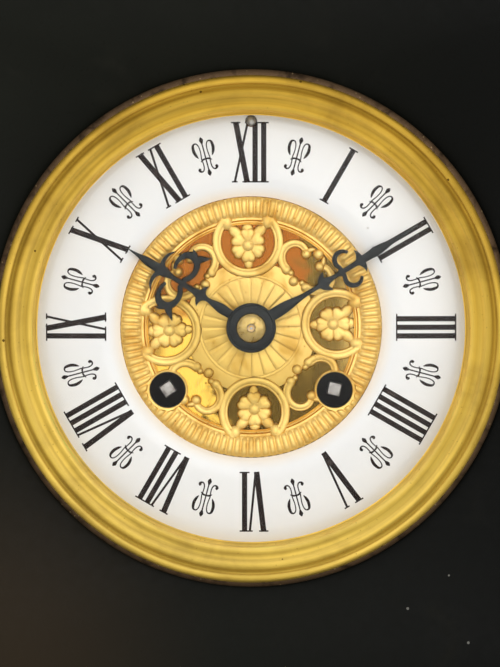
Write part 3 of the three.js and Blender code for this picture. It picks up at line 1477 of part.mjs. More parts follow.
// Locking lever: a feeler that rests just off the count wheel's rim, and an inner arm
const leverToCount = Math.atan2(strikeSecondAt[0] - leverX, strikeSecondAt[1] - leverZ);
const leverToLocking = Math.atan2(lockingAt[0] - leverX, lockingAt[1] - leverZ);
const countDistance = Math.hypot(strikeSecondAt[0] - leverX, strikeSecondAt[1] - leverZ);
const lockingDistance = Math.hypot(lockingAt[0] - leverX, lockingAt[1] - leverZ);
const lockingTip = (lockingTeeth * lockingModule) / 2 + wheelTipShare * lockingModule;
const feeler = band([new THREE.Vector2(0, 0),
  polar(countDistance - strikeDiscRadius - runningGap, leverToCount)], [leverWidth / 2, leverWidth / 4]);
const lockArm = band([new THREE.Vector2(0, 0),
  polar(lockingDistance - lockingTip - runningGap, leverToLocking)], [leverWidth / 2, leverWidth / 4]);
addPiece('locking_lever', joined(
  arborSolid(countWheelBack),
  rod(leverBossRadius, countWheelFront, countWheelBack, 8),
  plate(feeler, countWheelFront, countWheelBack),
  plate(lockArm, layer(lockingWheelLayer), layer(lockingWheelLayer + wheelThickness)),
), steel, leverX, leverZ);

// Movement plates with a hole for every pivot
const throughPivots = [secondAt, thirdAt, escapeAt, pinWheelAt, lockingAt, warningAt, flyAt,
  [hammerX, hammerZ], [leverX, leverZ], strikeSecondAt];
const pillarPlaces = pillarAngles.map((angle) => stepFrom(centreAt, pillarOffset, angle));
const pivotHoles = throughPivots.map(([x, z]) => holePath(pivotRadius + pivotGap, 6, x, z));
const tenonHoles = () => pillarPlaces.map(([x, z]) => holePath(pillarTenonRadius + seatGap, 6, x, z));
const plateSides = 24;

const frontPlateShape = discShape(plateRadius, plateSides, [
  ...pivotHoles,
  ...tenonHoles(),
  holePath(centrePivot + pivotGap, 8),
  holePath(pivotRadius + pivotGap, 6, ...palletAt),
  ...windingPlaces.map(([x, z]) => holePath(barrelArborRadius + pivotGap, 10, x, z)),
  ...dialFeet.map(([x, z]) => holePath(dialFootRadius + seatGap, 6, x, z)),
]);
const clickStuds = [clickAt(goingBarrelAt, 1), clickAt(strikeBarrelAt, -1)];
addPiece('front_plate', joined(
  plate(frontPlateShape, frontPlateFront, frontPlateBack),
  rod(studRadius, hourWheelFront - runningGap, frontPlateFront + plateThickness / 2, 8, ...minuteWheelAt),
  ...clickStuds.map(([x, z]) => rod(studRadius, ratchetFront - runningGap,
    frontPlateFront + plateThickness / 2, 8, x, z)),
), brass);

const backPlateShape = discShape(plateRadius, plateSides, [
  ...throughPivots.map(([x, z]) => holePath(pivotRadius + pivotGap, 6, x, z)),
  ...tenonHoles(),
  holePath(pivotRadius + pivotGap, 6),
  holePath(arborRadius + runningGap, 8, ...palletAt),
  ...windingPlaces.map(([x, z]) => holePath(barrelArborRadius / 2 + pivotGap, 8, x, z)),
]);
addPiece('back_plate', plate(backPlateShape, backPlateFront, backPlateBack), brass);

pillarPlaces.forEach(([x, z], i) => {
  addPiece(`pillar_${i + 1}`, turned([
    [0, frontPlateFront],
    [pillarTenonRadius, frontPlateFront],
    [pillarTenonRadius, frontPlateBack + seatGap],
    [pillarRadius, frontPlateBack + seatGap],
    [pillarRadius, backPlateFront - seatGap],
    [pillarTenonRadius, backPlateFront - seatGap],
    [pillarTenonRadius, backPlateBack],
    [0, backPlateBack],
  ], 6), brass, x, z);
});

// Rear ring, its door, and the straps that pull it towards the mount ring
const rearFlangeFront = bodyDepth + seatGap;
const rearFlangeBack = rearFlangeFront + rearFlangeThickness;
const rearTubeFront = bodyDepth - rearTubeDepth;
const rearTubeInner = rearTubeRadius - rearTubeWall;
const strapOuter = strapOffset + strapThickness;
const rearHingeY = rearFlangeBack + runningGap;
let rearRing = turned([
  [rearTubeRadius, rearTubeFront],
  [rearTubeRadius, rearFlangeFront],
  [rearFlangeRadius, rearFlangeFront],
  [rearFlangeRadius, rearFlangeBack],
  [rearTubeInner, rearFlangeBack],
  [rearTubeInner, rearTubeFront],
], 24);
for (const side of [-1, 1]) {
  const lug = [side * strapOffset, side * (rearTubeInner + rearTubeWall / 2)];
  rearRing = rearRing.add(block(lug.sort((a, b) => a - b),
    [rearTubeFront, rearTubeFront + strapTabThickness], [-rearLugWidth / 2, rearLugWidth / 2]));
  const low = side > 0 ? bezelKnuckleLength / 2 + runningGap : -knuckleReach;
  rearRing = rearRing.add(joined(
    post(knuckleRadius, low, low + mountKnuckleLength, knuckleSides, -rearHingeX, rearHingeY),
    block([-rearHingeX, -rearFlangeRadius + knuckleRadius], [rearFlangeFront, rearFlangeBack],
      [low, low + mountKnuckleLength]),
  ));
}
rearRing = rearRing.subtract(pinCutter(-rearHingeX, rearHingeY, knuckleReach + cutOverrun));
addPiece('rear_ring', rearRing, brass);

const doorFront = rearFlangeBack + runningGap;
const doorBack = doorFront + doorThickness;
addPiece('rear_door', joined(
  rod(doorRadius, doorFront, doorBack, 24),
  rod(doorKnobRadius, doorBack - doorThickness / 2, doorBack + doorKnobLength, 12,
    doorRadius - doorKnobInset, 0),
  post(knuckleRadius, -bezelKnuckleLength / 2, bezelKnuckleLength / 2, knuckleSides,
    -rearHingeX, rearHingeY),
  block([-rearHingeX, -doorRadius + knuckleRadius], [doorFront, doorBack],
    [-bezelKnuckleLength / 2, bezelKnuckleLength / 2]),
).add(post(knucklePinRadius, -knuckleReach, knuckleReach, 6, -rearHingeX, rearHingeY)), brass);

for (const [side, name] of [[-1, 'left_strap'], [1, 'right_strap']]) {
  const across = (from, to) => [side * from, side * to].sort((a, b) => a - b);
  const width = [-strapWidth / 2, strapWidth / 2];
  const front = ledgeBack + seatGap;
  const back = rearTubeFront - seatGap;
  addPiece(name, joined(
    block(across(strapOffset, strapOuter), [front, back], width),
    block(across(strapOffset, strapOffset + strapTabReach), [front, front + strapTabThickness], width),
    block(across(strapOffset, strapOffset + strapTabReach / 2), [back - strapTabThickness, back], width),
  ), brass);
}

// Stand the clock on its base, centred
clock.position.set(0, -(bodyDepth + plinthBackReach - plinthFrontReach) / 2, -plinthZ);

export default clock;
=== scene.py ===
"""A black slate mantel clock: an enamel dial with a pierced gilt centre under a hinged, glazed
bezel, and a round striking movement behind a door at the back."""
import math

import bmesh
import bpy
from mathutils import Matrix, Vector


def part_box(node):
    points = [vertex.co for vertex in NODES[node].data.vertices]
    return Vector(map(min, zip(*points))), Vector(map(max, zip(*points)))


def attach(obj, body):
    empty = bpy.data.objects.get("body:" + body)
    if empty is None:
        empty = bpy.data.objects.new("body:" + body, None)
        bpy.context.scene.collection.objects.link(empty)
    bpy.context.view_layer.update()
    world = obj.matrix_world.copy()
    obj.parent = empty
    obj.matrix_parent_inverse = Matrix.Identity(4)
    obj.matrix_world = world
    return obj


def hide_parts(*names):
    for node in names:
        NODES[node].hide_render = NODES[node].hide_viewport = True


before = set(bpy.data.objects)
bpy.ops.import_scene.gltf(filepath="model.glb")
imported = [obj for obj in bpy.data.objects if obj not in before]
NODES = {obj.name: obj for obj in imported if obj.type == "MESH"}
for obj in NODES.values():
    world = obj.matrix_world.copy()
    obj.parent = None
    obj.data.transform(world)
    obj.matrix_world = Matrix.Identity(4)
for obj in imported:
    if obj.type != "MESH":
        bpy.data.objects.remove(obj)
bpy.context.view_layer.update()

bl_info = {
    "name": "Slate mantel clock",
    "version": (1, 0, 0),
    "blender": (4, 5, 0),
    "location": "3D View > Sidebar > Clock",
    "description": "Builds a slate mantel clock with an enamel dial and a gilt centre",
    "category": "Object",
}

MM = 0.001
SHARP = 38  # degrees: edges sharper than this stay sharp
TAU = 2 * math.pi
GLASS_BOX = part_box("bezel_glass")
CENTRE = Vector((
    (GLASS_BOX[0].x + GLASS_BOX[1].x) / 2,
    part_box("front_slab")[0].y,
    (GLASS_BOX[0].z + GLASS_BOX[1].z) / 2,
))


def span(node):
    """Front and back of a CAD node, in millimetres behind the slate's face."""
    low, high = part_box(node)
    return (low.y - CENTRE.y) / MM, (high.y - CENTRE.y) / MM


def reach(node):
    """Largest radius of a CAD node about the dial's axis, taken upwards, in millimetres."""
    return (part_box(node)[1].z - CENTRE.z) / MM


def middle_of(node):
    """Middle of a CAD node's box as (right, behind, above), in millimetres."""
    low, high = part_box(node)
    return [((low[i] + high[i]) / 2 - CENTRE[i]) / MM for i in range(3)]


# Meshes. Points are (x, y, z) in millimetres: right of the dial's middle, behind the slate's
# face, and above the middle. Bearings run clockwise from twelve, in degrees.

class Form:
    """Points and faces of one piece."""

    def __init__(self):
        self.points = []
        self.faces = []

    def add(self, points, faces):
        """Takes in more points, and faces that count from the first of them."""
        base = len(self.points)
        self.points += [tuple(p) for p in points]
        self.faces += [[base + i for i in face] for face in faces]
        return self

    def take(self, form):
        """Takes in another form."""
        return self.add(form.points, form.faces)

    def turn(self, *shape, **options):
        """Takes in a lathe's work."""
        return self.add(*lathe(*shape, **options))


def polar(radius, bearing):
    """How far right and up a place lies, from its radius and bearing."""
    angle = math.radians(bearing)
    return radius * math.sin(angle), radius * math.cos(angle)


def smooth(mesh, sharp=SHARP):
    """Shades a mesh smooth, apart from edges sharper than an angle in degrees."""
    mesh.shade_smooth()
    mesh.set_sharp_from_angle(angle=math.radians(sharp))


def mesh_from(name, form, at=CENTRE, sharp=SHARP):
    """A clean mesh from a form, moved to its place in the scene."""
    mesh = bpy.data.meshes.new(name)
    mesh.from_pydata([(x * MM, y * MM, z * MM) for x, y, z in form.points], [], form.faces)
    shape = bmesh.new()
    shape.from_mesh(mesh)
    bmesh.ops.remove_doubles(shape, verts=shape.verts, dist=1e-7)
    bmesh.ops.dissolve_degenerate(shape, dist=1e-8, edges=shape.edges)
    bmesh.ops.recalc_face_normals(shape, faces=shape.faces)
    shape.to_mesh(mesh)
    shape.free()
    smooth(mesh, sharp)
    mesh.transform(Matrix.Translation(at))
    return mesh


def object_from(name, mesh, material):
    """An object in the scene, with one material or none."""
    piece = bpy.data.objects.new(name, mesh)
    bpy.context.scene.collection.objects.link(piece)
    if material:
        dress(piece, material)
    return piece


def dress(piece, material):
    """Gives a piece this one material."""
    piece.data.materials.clear()
    piece.data.materials.append(material)


def seat(piece, body, slot, *replaced):
    """Rides the finished piece on its body and hides the CAD nodes that it stands for. Its slot is
    not used.
    """
    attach(piece, body)
    if replaced:
        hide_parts(*replaced)
    return piece


def piece_from(name, form, material, **options):
    """An object in the scene from a form."""
    return object_from(name, mesh_from(name, form, **options), material)


def make(name, form, material, body, slot, *replaced):
    """A finished piece from its form."""
    return seat(piece_from(name, form, material), body, slot, *replaced)


def lathe(profile, steps=128, at=(0, 0), closed=True):
    """Turns a profile of (radius, depth) about an axis that runs into the case."""
    points, rings = [], []
    for radius, depth in profile:
        if radius < 1e-4:
            rings.append([len(points)] * steps)
            points.append((at[0], depth, at[1]))
            continue
        rings.append(list(range(len(points), len(points) + steps)))
        for i in range(steps):
            x, z = polar(radius, 360 * i / steps)
            points.append((at[0] + x, depth, at[1] + z))
    pairs = list(zip(rings, rings[1:])) + ([(rings[-1], rings[0])] if closed else [])
    faces = []
    for a, b in pairs:
        for i in range(steps):
            j = (i + 1) % steps
            face = list(dict.fromkeys((a[i], a[j], b[j], b[i])))
            if len(face) > 2:
                faces.append(face)
    return points, faces


def drill(radius, front, back, steps, at=(0, 0)):
    """A plain rod along the dial's axis, to cut a hole with."""
    return Form().turn([(0, front), (radius, front), (radius, back), (0, back)], steps, at,
                       closed=False)


def smooth_line(points, pieces=6):
    """A Catmull-Rom curve through the points. A point with a third value True is a corner."""
    corners = [len(p) > 2 and p[2] is True for p in points]
    flat = [Vector(p[:2]) for p in points]
    count = len(flat)
    line = []
    for i in range(count - 1):
        b, c = flat[i], flat[i + 1]
        a = b if corners[i] or i == 0 else flat[i - 1]
        d = c if corners[i + 1] or i + 2 >= count else flat[i + 2]
        for k in range(pieces):
            t = k / pieces
            line.append(0.5 * (2 * b + (c - a) * t + (2 * a - 5 * b + 4 * c - d) * t ** 2
                               + (3 * b - a - 3 * c + d) * t ** 3))
    return line + [flat[-1]]


def tube(rows, count, closed=False, first=0):
    """Faces between rows of points, each a loop of count. Closed joins the last to the first."""
    faces = []
    for i in range(first, rows if closed else rows - 1):
        a, b = i * count, (i + 1) % rows * count
        for k in range(count):
            n = (k + 1) % count
            faces.append([a + k, a + n, b + n, b + k])
    return faces


# Sections of strips: (share of the half width, share of the height)
FRAME_MOULDING = [(-1, 0), (-1, 0.72), (-0.9, 0.86), (-0.7, 0.96), (-0.35, 1), (0.1, 0.98),
                  (0.36, 0.9), (0.5, 0.84), (0.7, 0.86), (0.88, 0.8), (1, 0.66), (1, 0)]
STEPPED = [(-1, 0), (-1, 0.66), (-0.85, 0.8), (-0.3, 0.8), (-0.15, 0.7), (0, 0.8), (0.15, 0.97),
           (0.4, 1), (0.6, 0.9), (0.75, 0.78), (1, 0.86), (1, 0)]
HAND_SECTION = [(-1, 0.14), (-1, 0.8), (-0.8, 1), (0.8, 1), (1, 0.8), (1, 0.14), (0.8, 0),
                (-0.8, 0)]
FLAT_STRIP = [(-1, 0), (-1, 1), (1, 1), (1, 0)]


def sweep(path, half_widths, back, height, section, surface=None, even=False):
    """A strip along a flat path, with its back at one depth or on a surface of radius."""
    points = []
    count = len(section)
    widest = max(half_widths)
    for i, (here, half) in enumerate(zip(path, half_widths)):
        before, after = path[max(i - 1, 0)], path[min(i + 1, len(path) - 1)]
        along = (Vector(after) - Vector(before)).normalized()
        across = Vector((along.y, -along.x))
        rise = height if even else height * (0.35 + 0.65 * half / widest)
        for share, up in section:
            x, z = Vector(here) + across * half * share
            base = surface(math.hypot(x, z)) if surface else back
            points.append((x, base - rise * up, z))
    faces = tube(len(path), count)
    faces.append(list(range(count)))
    faces.append([(len(path) - 1) * count + k for k in reversed(range(count))])
    return points, faces


def dome(x, z, across, along, back, height, turn=0, sides=20, rings=5, skirt=0.0, point=0.0):
    """A rounded boss: half widths across and along its bearing, on a short straight skirt."""
    points = []
    angle = math.radians(turn)
    levels = [(1, 0)] + ([(1, skirt)] if skirt else [])
    for i in range(1, rings):
        a = math.pi / 2 * i / rings
        levels.append((math.cos(a), skirt + (height - skirt) * math.sin(a)))
    for share, up in levels:
        for k in range(sides):
            a = TAU * k / sides
            u, v = math.cos(a) * along * share, math.sin(a) * across * share
            v *= 1 - point * max(0, math.cos(a)) ** 3
            points.append((x + u * math.sin(angle) + v * math.cos(angle), back - up,
                           z + u * math.cos(angle) - v * math.sin(angle)))
    top = len(points)
    points.append((x, back - height, z))
    faces = tube(len(levels), sides)
    last = (len(levels) - 1) * sides
    faces += [[last + k, last + (k + 1) % sides, top] for k in range(sides)]
    faces.append(list(reversed(range(sides))))
    return points, faces


def rod(x, y, radius, low, high, edge=0.12):
    """An upright rod with broken edges."""
    profile = [(0, low), (radius - edge, low), (radius, low + edge), (radius, high - edge),
               (radius - edge, high), (0, high)]
    points, faces = lathe(profile, 32, closed=False)
    return [(px + x, pz + y, py) for px, py, pz in points], faces


def box_form(low, high, chamfer=0.15):
    """A block with small chamfers."""
    shape = bmesh.new()
    bmesh.ops.create_cube(shape, size=1)
    for v in shape.verts:
        v.co = Vector([low[i] if v.co[i] < 0 else high[i] for i in range(3)])
    bmesh.ops.bevel(shape, geom=list(shape.edges), offset=chamfer, segments=2, profile=0.5,
                    affect="EDGES")
    shape.verts.index_update()
    points = [tuple(v.co) for v in shape.verts]
    faces = [[v.index for v in f.verts] for f in shape.faces]
    shape.free()
    return points, faces


def combine(piece, tool, operation):
    """Cuts a tool out of a piece or joins it on, solid to solid, and uses it up."""
    step = piece.modifiers.new("combine", "BOOLEAN")
    step.operation = operation
    step.solver = "EXACT"
    step.use_self = operation == "DIFFERENCE"
    step.object = tool
    bake(piece)
    bpy.data.objects.remove(tool)


def cut(piece, *cutters):
    """Takes cutters, which are forms, out of a piece."""
    for form in cutters:
        combine(piece, piece_from("cutter", form, None), "DIFFERENCE")


def bake(piece, sharp=SHARP):
    """Applies a piece's modifiers to its mesh."""
    bpy.context.view_layer.update()
    graph = bpy.context.evaluated_depsgraph_get()
    mesh = bpy.data.meshes.new_from_object(piece.evaluated_get(graph))
    piece.modifiers.clear()
    piece.data = mesh
    smooth(mesh, sharp)


# Geometry Nodes: copies of one shape in a ring about the dial's axis

RING = "Ring of copies"


def ring_tree():
    """The Geometry Nodes tree that makes a ring of copies."""
    tree = bpy.data.node_groups.new(RING, "GeometryNodeTree")
    for label, kind in (("Geometry", "Geometry"), ("Count", "Int"), ("First Bearing", "Float"),
                        ("Material", "Material")):
        tree.interface.new_socket(label, in_out="INPUT", socket_type="NodeSocket" + kind)
    tree.interface.new_socket("Geometry", in_out="OUTPUT", socket_type="NodeSocketGeometry")
    nodes = Nodes(tree)
    given = nodes.add("NodeGroupInput").outputs
    line = nodes.add("GeometryNodeMeshLine", {"Count": given["Count"], "Offset": (0, 0, 0)})
    index = nodes.add("GeometryNodeInputIndex").outputs[0]
    turned = nodes.times(index, nodes.math("DIVIDE", TAU, given["Count"]))
    euler = nodes.add("ShaderNodeCombineXYZ", {"Y": nodes.plus(turned, given["First Bearing"])})
    copies = nodes.add("GeometryNodeInstanceOnPoints", {
        "Points": line.outputs[0], "Instance": given["Geometry"], "Rotation": euler.outputs[0]})
    real = nodes.add("GeometryNodeRealizeInstances", {"Geometry": copies.outputs[0]})
    dressed = nodes.add("GeometryNodeSetMaterial", {
        "Geometry": real.outputs[0], "Material": given["Material"]})
    nodes.add("NodeGroupOutput", {"Geometry": dressed.outputs[0]})
    return tree


def ring_of(name, form, count, first, material):
    """Repeats a form, drawn at twelve, round the dial, and returns the plain mesh's object."""
    tree = bpy.data.node_groups.get(RING) or ring_tree()
    piece = piece_from(name, form, material, at=Vector((0, 0, 0)))
    step = piece.modifiers.new("ring", "NODES")
    step.node_group = tree
    names = {item.name: item.identifier for item in tree.interface.items_tree
             if item.in_out == "INPUT"}
    step[names["Count"]] = count
    step[names["First Bearing"]] = math.radians(first)
    step[names["Material"]] = material
    bake(piece)
    piece.data.transform(Matrix.Translation(CENTRE))
    return piece


def join(name, *pieces):
    """One object from several, with the first one's material."""
    shape = bmesh.new()
    for piece in pieces:
        shape.from_mesh(piece.data)
    mesh = bpy.data.meshes.new(name)
    shape.to_mesh(mesh)
    shape.free()
    material = pieces[0].data.materials[0]
    for piece in pieces:
        bpy.data.objects.remove(piece)
    smooth(mesh)
    return object_from(name, mesh, material)


# Node trees

def linear(colour, dim=1.0):
    """A colour given as it shows on screen, from 0 to 255, in the renderer's own scale."""
    return tuple(((c / 255) / 12.92 if c <= 10 else ((c / 255 + 0.055) / 1.055) ** 2.4) * dim
                 for c in colour) + (1.0,)


class Nodes:
    """A node tree, with short ways to add to it."""

    def __init__(self, tree):
        self.tree = tree

    def feed(self, node, values):
        """Links a node's inputs to sockets, or sets them to plain values."""
        for key, value in values.items():
            if isinstance(value, bpy.types.NodeSocket):
                self.tree.links.new(value, node.inputs[key])
            else:
                node.inputs[key].default_value = value

    def add(self, kind, values=None, **settings):
        """Adds a node, sets its properties and feeds its inputs."""
        node = self.tree.nodes.new(kind)
        for key, value in settings.items():
            setattr(node, key, value)
        self.feed(node, values or {})
        return node

    def math(self, operation, a, b=0.0):
        return self.add("ShaderNodeMath", {0: a, 1: b}, operation=operation).outputs[0]

    def times(self, a, b):
        return self.math("MULTIPLY", a, b)

    def plus(self, a, b):
        return self.math("ADD", a, b)

    def ramp(self, value, low, high, to_low=0.0, to_high=1.0):
        """A smooth step from one value to another, between two limits."""
        return self.add("ShaderNodeMapRange", {
            "Value": value, "From Min": low, "From Max": high, "To Min": to_low,
            "To Max": to_high}, interpolation_type="SMOOTHSTEP").outputs[0]

    def noise(self, place, scale, detail, **values):
        return self.add("ShaderNodeTexNoise", {"Vector": place, "Scale": scale, "Detail": detail,
                                               **values}).outputs[0]

    def mix(self, share, a, b, blend="MIX"):
        """A colour from two. One given by three numbers is a colour as it shows on screen."""
        a, b = (c if isinstance(c, bpy.types.NodeSocket) or len(c) == 4 else linear(c)
                for c in (a, b))
        return self.add("ShaderNodeMix", {0: share, 6: a, 7: b}, data_type="RGBA",
                        blend_type=blend).outputs[2]

    def tint(self, a, b):
        """One colour multiplied by another."""
        return self.mix(1.0, a, b, "MULTIPLY")

    def from_axis(self, place):
        """How far a place lies to the right of the dial's axis and above it, in metres."""
        part = self.add("ShaderNodeSeparateXYZ", {"Vector": place}).outputs
        return (self.math("SUBTRACT", part[0], CENTRE.x),
                self.math("SUBTRACT", part[2], CENTRE.z))

    def use(self, name, **values):
        """Uses a shared group, which its first use makes."""
        if name not in bpy.data.node_groups:
            make_group(name)
        return self.add("ShaderNodeGroup", values,
                        node_tree=bpy.data.node_groups[name]).outputs


# Shared groups: each gives values for its outputs

def clouds_group(nodes, given):
    """Soft patches, from 0 to 1."""
    noise = nodes.noise(given["Vector"], given["Scale"], 5.0, Roughness=0.6, Distortion=0.4)
    return {"Mask": nodes.ramp(noise, given["Low"], given["High"])}


def specks_group(nodes, given):
    """Small round specks, of which only some are kept."""
    cells = nodes.add("ShaderNodeTexVoronoi", {"Vector": given["Vector"], "Scale": given["Scale"],
                                               "Randomness": 1.0}).outputs
    spot = nodes.math("LESS_THAN", cells["Distance"], given["Size"])
    split = nodes.add("ShaderNodeSeparateColor", {"Color": cells["Color"]})
    return {"Mask": nodes.times(spot, nodes.math("GREATER_THAN", split.outputs[0],
                                                 given["Rarity"]))}


def turned_group(nodes, given):
    """Fine lathe lines: rings about the dial's axis."""
    x, z = nodes.from_axis(given["Vector"])
    radius = nodes.math("SQRT", nodes.plus(nodes.times(x, x), nodes.times(z, z)))
    flat = nodes.add("ShaderNodeCombineXYZ", {
        "X": nodes.times(radius, given["Scale"]), "Y": nodes.times(x, 20.0),
        "Z": nodes.times(z, 20.0)})
    return {"Height": nodes.noise(flat.outputs[0], 1.0, 2.0), "Radius": radius}


def brushed_group(nodes, given):
    """Straight brushing along one direction."""
    stretched = nodes.add("ShaderNodeVectorMath", {0: given["Vector"], 1: given["Stretch"]},
                          operation="MULTIPLY")
    return {"Height": nodes.noise(stretched.outputs[0], 1.0, 3.0, Roughness=0.6)}


def crevice_group(nodes, given):
    """Dirt and painted shade that gather in corners, from 0 on open faces to 1 deep inside."""
    sky = nodes.add("ShaderNodeAmbientOcclusion", {"Distance": given["Distance"]}, samples=6,
                    only_local=True).outputs["AO"]
    return {"Mask": nodes.ramp(sky, given["Full"], given["None"], 1.0, 0.0)}


# What fills each group, its inputs with their defaults, and its outputs
SHARED = {
    "Clouds": (clouds_group, {"Vector": None, "Scale": 60.0, "Low": 0.4, "High": 0.7}, ["Mask"]),
    "Specks": (specks_group, {"Vector": None, "Scale": 400.0, "Size": 0.15, "Rarity": 0.7},
               ["Mask"]),
    "Turned lines": (turned_group, {"Vector": None, "Scale": 6000.0}, ["Height", "Radius"]),
    "Brushed lines": (brushed_group, {"Vector": None, "Stretch": (900.0, 900.0, 60.0)},
                      ["Height"]),
    "Crevices": (crevice_group, {"Distance": 0.002, "Full": 0.35, "None": 0.85}, ["Mask"]),
}


def make_group(name):
    """Makes one of the shared groups."""
    fill, inputs, outputs = SHARED[name]
    tree = bpy.data.node_groups.new(name, "ShaderNodeTree")
    for label, default in inputs.items():
        kind = "Float" if isinstance(default, float) else "Vector"
        socket = tree.interface.new_socket(label, in_out="INPUT", socket_type="NodeSocket" + kind)
        if default is not None:
            socket.default_value = default
    for label in outputs:
        tree.interface.new_socket(label, in_out="OUTPUT", socket_type="NodeSocketFloat")
    nodes = Nodes(tree)
    nodes.add("NodeGroupOutput", fill(nodes, nodes.add("NodeGroupInput").outputs))


# Materials

class Look(Nodes):
    """A new material: its Principled shader, and the object's own coordinates."""

    def __init__(self, name):
        self.material = bpy.data.materials.new(name)
        self.material.use_nodes = True
        super().__init__(self.material.node_tree)
        self.tree.nodes.clear()
        self.shader = self.add("ShaderNodeBsdfPrincipled")
        self.output = self.add("ShaderNodeOutputMaterial", {"Surface": self.shader.outputs[0]})
        self.place = self.add("ShaderNodeTexCoord").outputs["Object"]

    def clouds(self, scale, low, high):
        return self.use("Clouds", Vector=self.place, Scale=scale, Low=low, High=high)["Mask"]

    def specks(self, scale, size, rarity):
        return self.use("Specks", Vector=self.place, Scale=scale, Size=size, Rarity=rarity)["Mask"]

    def turned(self, scale=6000.0):
        return self.use("Turned lines", Vector=self.place, Scale=scale)

    def leaning(self, share):
        """How far up the dial a point lies, with a share of how far to the right."""
        x, z = self.from_axis(self.place)
        return self.plus(self.times(x, share), z)

    def bump(self, height, strength, distance=0.0002):
        node = self.add("ShaderNodeBump", {"Height": height, "Strength": strength,
                                           "Distance": distance})
        self.feed(self.shader, {"Normal": node.outputs[0]})

    def finished(self, values):
        """Feeds the shader and gives the material."""
        self.feed(self.shader, values)
        return self.material


def worn(name, colour, patch, spot, rough, metal=1.0, patch_scale=60.0, patch_span=(0.45, 0.75),
         spot_scale=500.0, spot_size=0.16, rarity=0.75, grain=0.12, grain_kind="fine",
         corner_dirt_and_shade=None, corner_dirt_and_shade_span=(0.35, 0.9), level=0.5, tone=None):
    """A finish with soft patches, specks, a grain, and dirt and painted shade in its corners."""
    look = Look(name)
    patches = look.clouds(patch_scale, *patch_span)
    shown = look.mix(patches, colour, patch)
    shown = look.mix(look.specks(spot_scale, spot_size, rarity), shown, spot)
    if corner_dirt_and_shade:
        # Darker in corners: dirt, and painted shade.
        corners = look.use("Crevices", Distance=0.0015, Full=corner_dirt_and_shade_span[0],
                           **{"None": corner_dirt_and_shade_span[1]})["Mask"]
        shown = look.mix(corners, shown, corner_dirt_and_shade)
    if tone:
        shown = tone(look, shown)
    if grain_kind == "turned":
        fine = look.turned(5200.0)["Height"]
    elif grain_kind == "brushed":
        fine = look.use("Brushed lines", Vector=look.place)["Height"]
    else:
        fine = look.noise(look.place, 2600.0, 3.0)
    spread = look.plus(look.times(patches, 0.5), look.times(fine, 0.5))
    look.bump(fine, grain)
    return look.finished({"Base Color": shown, "Roughness": look.ramp(spread, 0.15, 0.85, *rough),
                          "Metallic": metal, "Specular IOR Level": level})


def slate_material(colours):
    """Black slate, a little paler in clouds, paler towards the left as painted light, and with a
    warm lower left.
    """
    look = Look("Black slate")
    clouds = look.clouds(9.0, 0.42, 0.8)
    smears = look.clouds(34.0, 0.55, 0.85)
    specks = look.specks(190.0, 0.07, 0.9)
    part = look.add("ShaderNodeSeparateXYZ", {"Vector": look.place}).outputs
    corner = look.add("ShaderNodeVectorMath", {
        0: look.place, 1: CENTRE + Vector((-0.085, 0, -0.1))}, operation="DISTANCE")
    warm = look.ramp(corner.outputs["Value"], 0.02, 0.085, 1.0, 0.0)
    shown = look.mix(clouds, colours.slate, linear(colours.slate, 1.6))
    # Painted light: the slate grows darker towards the right.
    shown = look.tint(shown, look.ramp(part[0], -0.02, 0.08, 1.0, 0.3))
    shown = look.mix(look.times(smears, 0.12), shown, (74, 70, 60))
    shown = look.mix(look.times(specks, 0.5), shown, (150, 148, 140))
    shown = look.mix(look.times(warm, 0.8), shown, (48, 38, 24))
    veins = look.noise(look.place, 420.0, 6.0)
    look.bump(veins, 0.05)
    return look.finished({
        "Base Color": shown, "Specular IOR Level": 0.065,
        "Roughness": look.ramp(look.plus(smears, veins), 0.2, 1.4, 0.26, 0.5)})


def plate_painted_reflection_material():
    """Polished brass with a warm room's reflection painted into its colour: amber above, olive at
    the right, gold at the left. Its limits are in millimetres from the dial's middle."""
    look = Look("Polished plate")
    x, z = (look.times(value, 1000.0) for value in look.from_axis(look.place))
    wave = look.noise(look.place, 110.0, 3.0, Distortion=1.2)
    shift = look.ramp(wave, 0.25, 0.75, -4.0, 4.0)
    level, aside = look.plus(z, shift), look.plus(x, shift)
    across = look.plus(look.times(z, -0.16), x)
    right = look.ramp(look.plus(across, shift), 8.8, 11.8)
    far = look.times(right, look.ramp(x, 22.0, 27.0))
    low = look.times(look.ramp(level, -13.0, -9.0, 1.0, 0.0), look.ramp(aside, -12.0, -8.0))
    edge = look.times(look.ramp(x, -22.0, -25.0), look.ramp(z, -12.0, -6.0))
    # Painted reflections: gold below and amber above, olive at the right, paler at the far right,
    # darker low down and at the left edge. The specks are tarnish.
    shown = look.mix(look.ramp(level, 0.0, 9.0), (236, 190, 84), (150, 90, 36))
    for share, colour in ((right, (112, 90, 42)), (far, (176, 146, 82)), (low, (92, 72, 31)),
                          (look.times(edge, 0.7), (118, 84, 34)),
                          (look.times(look.specks(420.0, 0.12, 0.8), 0.7), (110, 66, 20))):
        shown = look.mix(share, shown, colour)
    lines = look.use("Brushed lines", Vector=look.place, Stretch=(1500.0, 1500.0, 80.0))["Height"]
    look.bump(lines, 0.05)
    return look.finished({"Base Color": shown, "Metallic": 1.0,
                          "Roughness": look.ramp(lines, 0.2, 0.8, 0.2, 0.3)})


def dull_and_shaded_fan(look, colour):
    """The fan is a little duller than the band, and darker still towards its lower left, which is
    painted shade.
    """
    near = look.ramp(look.turned()["Radius"], 0.018, 0.026, 1.0, 0.0)
    # Painted shade: darker towards the lower left.
    tone = look.mix(look.ramp(look.leaning(0.8), -0.012, 0.012), (0.8, 0.78, 0.66, 1),
                    (0.94, 0.92, 0.9, 1))
    return look.tint(colour, look.mix(near, (1.05, 1.05, 1.08, 1), tone))


